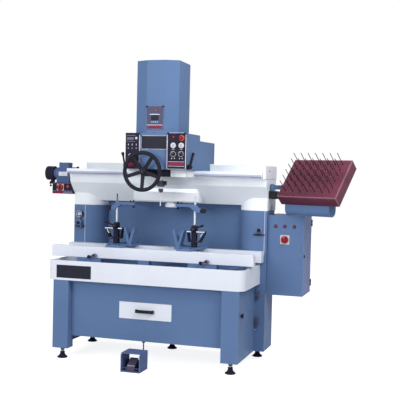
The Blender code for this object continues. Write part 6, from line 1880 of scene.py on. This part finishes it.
def add_main_switch():
    """Red isolator on the cabinet's front."""
    x, z = MAIN_SWITCH
    face = extent("electric_cabinet")[0].y
    skirt = mm((0, 14), (22, 14), (25.5, 11), (26, 8), (26, 0), (0, 0))
    turn_switch(
        "isolator_handle",
        "main_switch",
        (x, face - SWITCH_SEAT, z),
        skirt,
        steps=36,
        grip=(0.006, 0.0235, 0.0055, 0.012, 0.002),
        mark=(0.016, 0.0025, 0.010),
    )


class MACHINE_OT_cabinet(bpy.types.Operator):
    """Dress the electric cabinet, its door, lamps and main switch"""

    bl_idname = "machine.cabinet"
    bl_label = "Electric Cabinet"

    def execute(self, context):
        edges = context.scene.machine_edges
        add_cabinet_shell(edges)
        add_cabinet_door(edges)
        add_main_switch()
        return {"FINISHED"}


# Tool board

BOARD_SIZE = Vector((0.458, 0.352, 0.086))
PIN_COLUMNS = 7
PIN_ROWS = 6
PIN_STEP_ACROSS = 0.057
PIN_STEP_UP = 0.0524
HIGHLIGHT_RIM = 0.006
POST_PLACE = (0.774, 0.500)


def add_swivel_post():
    """Clamp block on the tower and the post that the tray turns on."""
    low, high = extent("swivel_post")
    post = Piece("swivel_mount")
    x, y = POST_PLACE
    top = low.z + 0.056
    post.add("black_plastic", block(low, (high.x, high.y, top), 0.004, 3))
    post.add("blue_enamel", rod((x, y, top - 0.006), (x, y, high.z - 0.004), 0.0114))
    post.add("blue_enamel", rod((x, y, top - 0.004), (x, y, top + 0.0097), 0.0144, edge=0.0004))
    cap = (x, y, high.z - 0.0057)
    post.add("blue_enamel", rod(cap, (x, y, high.z), 0.0144, edge=0.002, steps=28))
    post.add("bright_steel", screw((x, y, high.z - 0.0002), UP, 0.007))
    for z in (low.z + 0.014, top - 0.014):
        for shift in (-0.022, 0.022):
            post.add("dark_steel", screw((high.x, y + shift, z), RIGHT, 0.005))
    post.fit("swivel_post")


def add_plank():
    """Board with rows of pins and pale strips along its edges that paint their highlight, built
    flat and then put in its place.
    """
    half = BOARD_SIZE / 2
    board = Piece("tool_plank").add("varnished_wood", block(-half, half, 0.004, 3))
    pin = mm((0, 0), (3.6, 0), (3.6, 12), (2.5, 15), (2.5, 115), (1.6, 118), (0, 118))
    for column in range(PIN_COLUMNS):
        for row in range(PIN_ROWS):
            x = (column - (PIN_COLUMNS - 1) / 2) * PIN_STEP_ACROSS
            y = (row - (PIN_ROWS - 1) / 2) * PIN_STEP_UP
            board.add("black_plastic", lathe(pin, (x, y, half.z), UP, 10))
    # Pale strips along the face's edges and one corner: a painted highlight
    worn = half - Vector((0.0028, 0.0028, 0.0028))
    highlight_rims = (
        ((-worn.x, -worn.y, worn.z), (worn.x, -worn.y, worn.z), UP),
        ((-worn.x, worn.y, worn.z), (worn.x, worn.y, worn.z), UP),
        ((worn.x, -worn.y, worn.z), (worn.x, worn.y, worn.z), UP),
        ((worn.x, -worn.y, -worn.z), (worn.x, -worn.y, worn.z), RIGHT),
    )
    for start, end, across in highlight_rims:
        rim = flat_bar(start, end, across, (HIGHLIGHT_RIM, HIGHLIGHT_RIM), edge=0.0018)
        board.add("worn_wood", rim)
    board.turn(board_place()).fit("tool_board")


class MACHINE_OT_tool_board(bpy.types.Operator):
    """Build the tool board with its pins, and dress its tray and post"""

    bl_idname = "machine.tool_board"
    bl_label = "Tool Board"

    def execute(self, context):
        edges = context.scene.machine_edges
        add_plank()
        dress("tool_tray_shell", "tool_tray", "blue_enamel", edges.thin)
        add_swivel_post()
        return {"FINISHED"}


# Tool grinder

GRINDER_AXIS = (0.480, 1.307)
GRINDER_SWITCH = (-0.860, 1.200)
GRINDER_PUSH = (-0.797, 1.207)
BAND_SPLIT = -0.839  # where the box's lower band turns from red to grey


def add_grinder_motor(edges):
    """Motor with end rings and a bare plate."""
    top = extent("grinder_motor")[1].z
    motor = cad_piece("grinder_body", "grinder_motor", "deep_blue_enamel", edges.thin)
    y, z = GRINDER_AXIS
    for x in (-0.886, -0.791):
        motor.add("deep_blue_enamel", ring((x, y, z), RIGHT, 0.0465, 0.0026, 0.004))
    plate = (-0.801, y - 0.0425, z + 0.012)
    motor.add("white_plastic", block((-0.874, y - 0.0492, z - 0.020), plate, 0.001))
    for x in (-0.868, -0.809):
        motor.add("dark_steel", screw((x, y - 0.026, top), UP, 0.0035))
    motor.fit("grinder_motor")


def add_wheel_guard():
    """Guard with the tool rest and its clamp screw under its motor end."""
    guard = cad_piece("wheel_guard", "grinder_guard", "black_enamel", 0.001)
    y, z = GRINDER_AXIS
    right = extent("grinder_guard")[1].x - 0.002
    rest = [(right, z - 0.050), (right - 0.014, z - 0.050), (right - 0.030, z - 0.074)]
    rest += [(right - 0.030, z - 0.081), (right - 0.002, z - 0.081)]
    guard.add("black_enamel", prism(rest, y - 0.036, y + 0.002, "XZ", 0.001))
    x = right - 0.027
    guard.add("dark_steel", rod((x, y - 0.018, z - 0.080), (x, y - 0.018, z - 0.092), 0.004))
    knob = mm((0, 0), (6, 0), (9, 3), (9, 8), (5, 11), (0, 11))
    guard.add("black_plastic", lathe(knob, (x, y - 0.018, z - 0.102), UP, 18))
    guard.fit("grinder_guard")


def add_switch_box(edges):
    """Box under the motor with a push button and a turn switch."""
    low, high = extent("grinder_switch_box")
    face = low.y
    box = cad_piece("grinder_box", "grinder_switch_box", "black_enamel", edges.sheet)
    x, z = GRINDER_SWITCH
    box.add("cream_plastic", switch_plate(x, z, 0.029, 0.026, 0.003, face))
    push = mm((0, 7), (9, 6.5), (12.5, 5), (13, 0), (0, 0))
    place = (GRINDER_PUSH[0], face, GRINDER_PUSH[1])
    box.add("lamp_lens", lathe(push, place, FRONT, 28))
    box.add("black_plastic", ring(place, FRONT, 0.0142, 0.0016, 0.002))
    middle = centre_of("grinder_switch_box")[0]
    box.add("grey_plastic", dash(middle, face, 1.174, 0.166, 0.004))
    wide = BAND_SPLIT - 0.004 - low.x
    box.add("red_film", dash((low.x + BAND_SPLIT) / 2, face, 1.162, wide, 0.014))
    wide = high.x - BAND_SPLIT - 0.004
    box.add("grey_plastic", dash((high.x + BAND_SPLIT) / 2, face, 1.162, wide, 0.014))
    box.add("grey_plastic", dash(middle, face, high.z - 0.005, 0.164, 0.004))
    for sx in (low.x + 0.007, high.x - 0.007):
        for sz in (low.z + 0.030, high.z - 0.014):
            box.add("dark_steel", screw((sx, face, sz), FRONT, 0.003))
    box.fit("grinder_switch_box")
    skirt = mm((0, 12), (21.5, 12), (24.5, 10), (25, 7), (25, 0), (0, 0))
    turn_switch(
        "grinder_isolator",
        "grinder_switch",
        (x, face - SWITCH_SEAT, z),
        skirt,
        steps=32,
        grip=(0.0045, 0.0225, 0.004, 0.010, 0.0015),
        mark=(0.015, 0.002, 0.009),
    )


class MACHINE_OT_grinder(bpy.types.Operator):
    """Dress the tool grinder: motor, guard, wheel, switch box and isolator"""

    bl_idname = "machine.grinder"
    bl_label = "Tool Grinder"

    def execute(self, context):
        edges = context.scene.machine_edges
        add_grinder_motor(edges)
        add_wheel_guard()
        coat_nodes("abrasive", "grinding_wheel")
        add_switch_box(edges)
        return {"FINISHED"}


# Work fixtures

FIXTURE_Y = 0.310
FIXTURE_POSTS = (("left", -1, -0.334), ("right", 1, 0.262))
TONGUES = {"left": (-0.345, -0.224), "right": (0.188, 0.302)}
PILLAR_TOP = 0.958
YOKE_TOP = 0.922
STRAP_Z = 1.099
STRAP_OUT_Z = 1.066
CRADLE_TOP = 0.926
LEVER_Z = 0.937


def yoke_outline(side, x, inset):
    """Outline of the yoke, or of its window where it is set in."""
    top = YOKE_TOP - inset
    low = YOKE_TOP - 0.079 + inset
    shoulder = YOKE_TOP - 0.016
    outline = [(0.082 - inset, top), (inset - 0.050, top), (inset - 0.050, shoulder)]
    outline += [(inset - 0.042, low), (0.050 - inset, low), (0.082 - inset, shoulder)]
    return [(x + side * run, z) for run, z in outline]


def add_fixture_base(side_name, side, x):
    """Sole, V cradle, pillar, yoke and post."""
    node = "fixture_base_" + side_name
    low, high = extent(node)
    y = FIXTURE_Y
    base = Piece("fixture_" + side_name)
    sole = low.z + 0.016
    left, right = sorted((x - side * 0.136, x + side * 0.060))
    tongue_left, tongue_right = TONGUES[side_name]
    step = y - 0.045
    plan = [(left, step), (tongue_left, step), (tongue_left, low.y), (tongue_right, low.y)]
    plan += [(tongue_right, step), (right, step), (right, high.y), (left, high.y)]
    base.add("blue_enamel", prism(plan, low.z, sole, "XY", 0.002))
    middle = x - side * 0.112
    cradle = [(-0.012, sole - 0.006), (0.012, sole - 0.006), (0.043, CRADLE_TOP)]
    cradle += [(0.030, CRADLE_TOP), (0, sole + 0.030), (-0.030, CRADLE_TOP)]
    cradle.append((-0.043, CRADLE_TOP))
    cradle = [(middle + run, z) for run, z in cradle]
    base.add("blue_enamel", prism(cradle, y - 0.035, y + 0.035, "XZ", 0.002))
    pillar = (x + 0.017, y + 0.022, PILLAR_TOP)
    base.add("black_enamel", block((x - 0.017, y - 0.022, sole - 0.002), pillar, 0.003))
    bars = window_bar(yoke_outline(side, x, 0), yoke_outline(side, x, 0.010), y - 0.020, y + 0.020)
    base.add("black_enamel", bars)
    add_guide_bars(base, side, x)
    nut = mm((0, 8), (10, 8), (13, 5), (13, 0), (0, 0))
    base.add("dark_steel", lathe(nut, (x, y, PILLAR_TOP - 0.001), UP, 6))
    for bolt_x in (tongue_left + 0.020, tongue_right - 0.020):
        base.add("dark_steel", screw((bolt_x, low.y + 0.020, sole), UP, 0.008))
    for inward in (0.030, 0.120):
        base.add("dark_steel", screw((x - side * inward, high.y - 0.020, sole), UP, 0.008))
    add_fixture_post(base, side, x, high.z)
    base.fit(node)


def add_guide_bars(base, side, x):
    """Bright guide bars along the yoke's top and one that leans in its outer end."""
    y = FIXTURE_Y - 0.0205
    z = YOKE_TOP - 0.005
    for near, far in ((0.019, 0.082), (-0.019, -0.050)):
        start, end = (x + side * near, y, z), (x + side * far, y, z)
        base.add("satin_steel", rod(start, end, 0.0052))
    start, end = (x + side * 0.050, y, YOKE_TOP - 0.040), (x + side * 0.066, y, z - 0.010)
    base.add("satin_steel", rod(start, end, 0.004))
    grip = (x + side * 0.030, y - 0.004, YOKE_TOP - 0.074)
    base.add("dark_steel", ball(grip, 0.009, (1.2, 0.7, 1)))


def add_fixture_post(base, side, x, crown):
    """Bright post; the left one is thin and dark above its strap."""
    bottom = PILLAR_TOP - 0.004
    neck = STRAP_Z + 0.014
    post = [(0, bottom), (0.008, bottom), (0.008, neck), (0, neck)]
    base.add("satin_steel", lathe(post, (x, FIXTURE_Y, 0), UP, 20))
    finish, radius = ("dark_steel", 0.0046) if side < 0 else ("satin_steel", 0.0084)
    end = [(0, crown), (radius * 0.5, crown - 0.0006), (radius * 0.85, crown - 0.0025)]
    end += [(radius, crown - 0.006), (radius, neck - 0.002), (0, neck - 0.002)]
    base.add(finish, lathe(end, (x, FIXTURE_Y, 0), UP, 20))


def add_clamp_arm(side_name, side, x):
    """Cranked strap with a star knob outside and a jaw inside."""
    node = "clamp_arm_" + side_name
    y = FIXTURE_Y
    outer, inner = x + side * 0.040, x - side * 0.142
    outline = [(outer, STRAP_OUT_Z - 0.014), (x + side * 0.014, STRAP_OUT_Z - 0.014)]
    outline += [(x - side * 0.036, STRAP_Z - 0.010), (inner, STRAP_Z - 0.010)]
    outline += [(inner, STRAP_Z + 0.010), (x - side * 0.002, STRAP_Z + 0.012)]
    outline += [(outer, STRAP_OUT_Z + 0.009)]
    arm = Piece("clamp_strap_" + side_name)
    arm.add("blue_enamel", prism(outline, y - 0.018, y + 0.018, "XZ", 0.003))
    knob_x = x + side * 0.060
    stud = (outer - side * 0.006, y, STRAP_OUT_Z)
    arm.add("dark_steel", rod(stud, (knob_x, y, STRAP_OUT_Z), 0.008))
    knob = star_outline((knob_x, STRAP_OUT_Z), 0.019, 6, 0.003, 6)
    arm.add("black_plastic", prism(knob, y - 0.013, y + 0.013, "XZ", 0.003))
    jaw, bolt = x - side * 0.1285, x - side * 0.104
    for finish, stem, low, high, radius, steps in (
        ("dark_steel", jaw, -0.028, 0.028, 0.0060, 16),
        ("black_plastic", jaw, -0.028, -0.018, 0.0088, 16),
        ("black_plastic", jaw, 0.009, 0.017, 0.009, 6),
        ("dark_steel", bolt, 0, 0.026, 0.0052, 16),
        ("black_plastic", bolt, 0.009, 0.016, 0.0085, 6),
    ):
        start, end = (stem, y, STRAP_Z + low), (stem, y, STRAP_Z + high)
        arm.add(finish, rod(start, end, radius, steps=steps))
    arm.fit(node)


def add_fixture_lever(side_name, side, x):
    """Lever on the pillar's front."""
    node = "fixture_lever_" + side_name
    face = extent(node)[1].y
    z = LEVER_Z
    lever = Piece("fixture_handle_" + side_name)
    hub = mm((0, 30), (12, 30), (15.5, 27), (17, 21), (17, 4), (15, 0), (0, 0))
    lever.add("black_enamel", lathe(hub, (x, face, z), FRONT, 24))
    lever.add("dark_steel", screw((x, face - 0.0295, z), FRONT, 0.006))
    middle = Vector((x, face - 0.018, z))
    tip = middle + Vector((side * 0.070, 0, 0.027))
    lever.add("black_plastic", rod(middle, tip, 0.0062, 0.0056))
    form = mm((0, -26), (5.7, -26), (7.4, -12), (8.4, 0), (7, 6), (4, 8.4), (0, 9))
    lever.add("black_plastic", lathe(form, tip, tip - middle, 18))
    lever.fit(node)


class MACHINE_OT_fixtures(bpy.types.Operator):
    """Build the two work fixtures: base, yoke, cradle, post, clamp arm and lever"""

    bl_idname = "machine.fixtures"
    bl_label = "Work Fixtures"

    def execute(self, context):
        for side_name, side, x in FIXTURE_POSTS:
            add_fixture_base(side_name, side, x)
            add_clamp_arm(side_name, side, x)
            add_fixture_lever(side_name, side, x)
        return {"FINISHED"}


class MACHINE_OT_inside(bpy.types.Operator):
    """Give the pieces inside the covers their finishes"""

    bl_idname = "machine.inside"
    bl_label = "Inside Pieces"

    def execute(self, context):
        coat_nodes("bright_steel", "quill", "feed_shaft")
        coat_nodes("black_enamel", "spindle_motor", "drive_unit")
        return {"FINISHED"}


class MACHINE_PT_panel(bpy.types.Panel):
    """Lists the machine's settings and its pieces"""

    bl_label = "Valve Seat Machine"
    bl_idname = "MACHINE_PT_panel"
    bl_space_type = "VIEW_3D"
    bl_region_type = "UI"
    bl_category = "Machine"

    def draw(self, context):
        scene = context.scene
        for group in (scene.machine_paints, scene.machine_edges, scene.machine_stage):
            box = self.layout.box()
            for name in group.__annotations__:
                box.prop(group, name)
        for step in STEPS:
            self.layout.operator(step.bl_idname)


GROUPS = (MachinePaints, MachineEdges, MachineStage)
STEPS = (
    MACHINE_OT_stage,
    MACHINE_OT_cable,
    MACHINE_OT_foot_switch,
    MACHINE_OT_feet,
    MACHINE_OT_base,
    MACHINE_OT_tray,
    MACHINE_OT_bed,
    MACHINE_OT_body,
    MACHINE_OT_beam,
    MACHINE_OT_head,
    MACHINE_OT_spindle,
    MACHINE_OT_handwheel,
    MACHINE_OT_levers,
    MACHINE_OT_panels,
    MACHINE_OT_buttons,
    MACHINE_OT_cabinet,
    MACHINE_OT_tool_board,
    MACHINE_OT_grinder,
    MACHINE_OT_fixtures,
    MACHINE_OT_inside,
)


def register():
    for item in (*GROUPS, *STEPS, MACHINE_PT_panel):
        bpy.utils.register_class(item)
    bpy.types.Scene.machine_paints = PointerProperty(type=MachinePaints)
    bpy.types.Scene.machine_edges = PointerProperty(type=MachineEdges)
    bpy.types.Scene.machine_stage = PointerProperty(type=MachineStage)


def unregister():
    del bpy.types.Scene.machine_stage
    del bpy.types.Scene.machine_edges
    del bpy.types.Scene.machine_paints
    for item in reversed((*GROUPS, *STEPS, MACHINE_PT_panel)):
        bpy.utils.unregister_class(item)


def main():
    """Register the add-on and build every piece in order."""
    register()
    for step in STEPS:
        family, name = step.bl_idname.split(".")
        getattr(getattr(bpy.ops, family), name)()


if __name__ == "__main__":
    main()
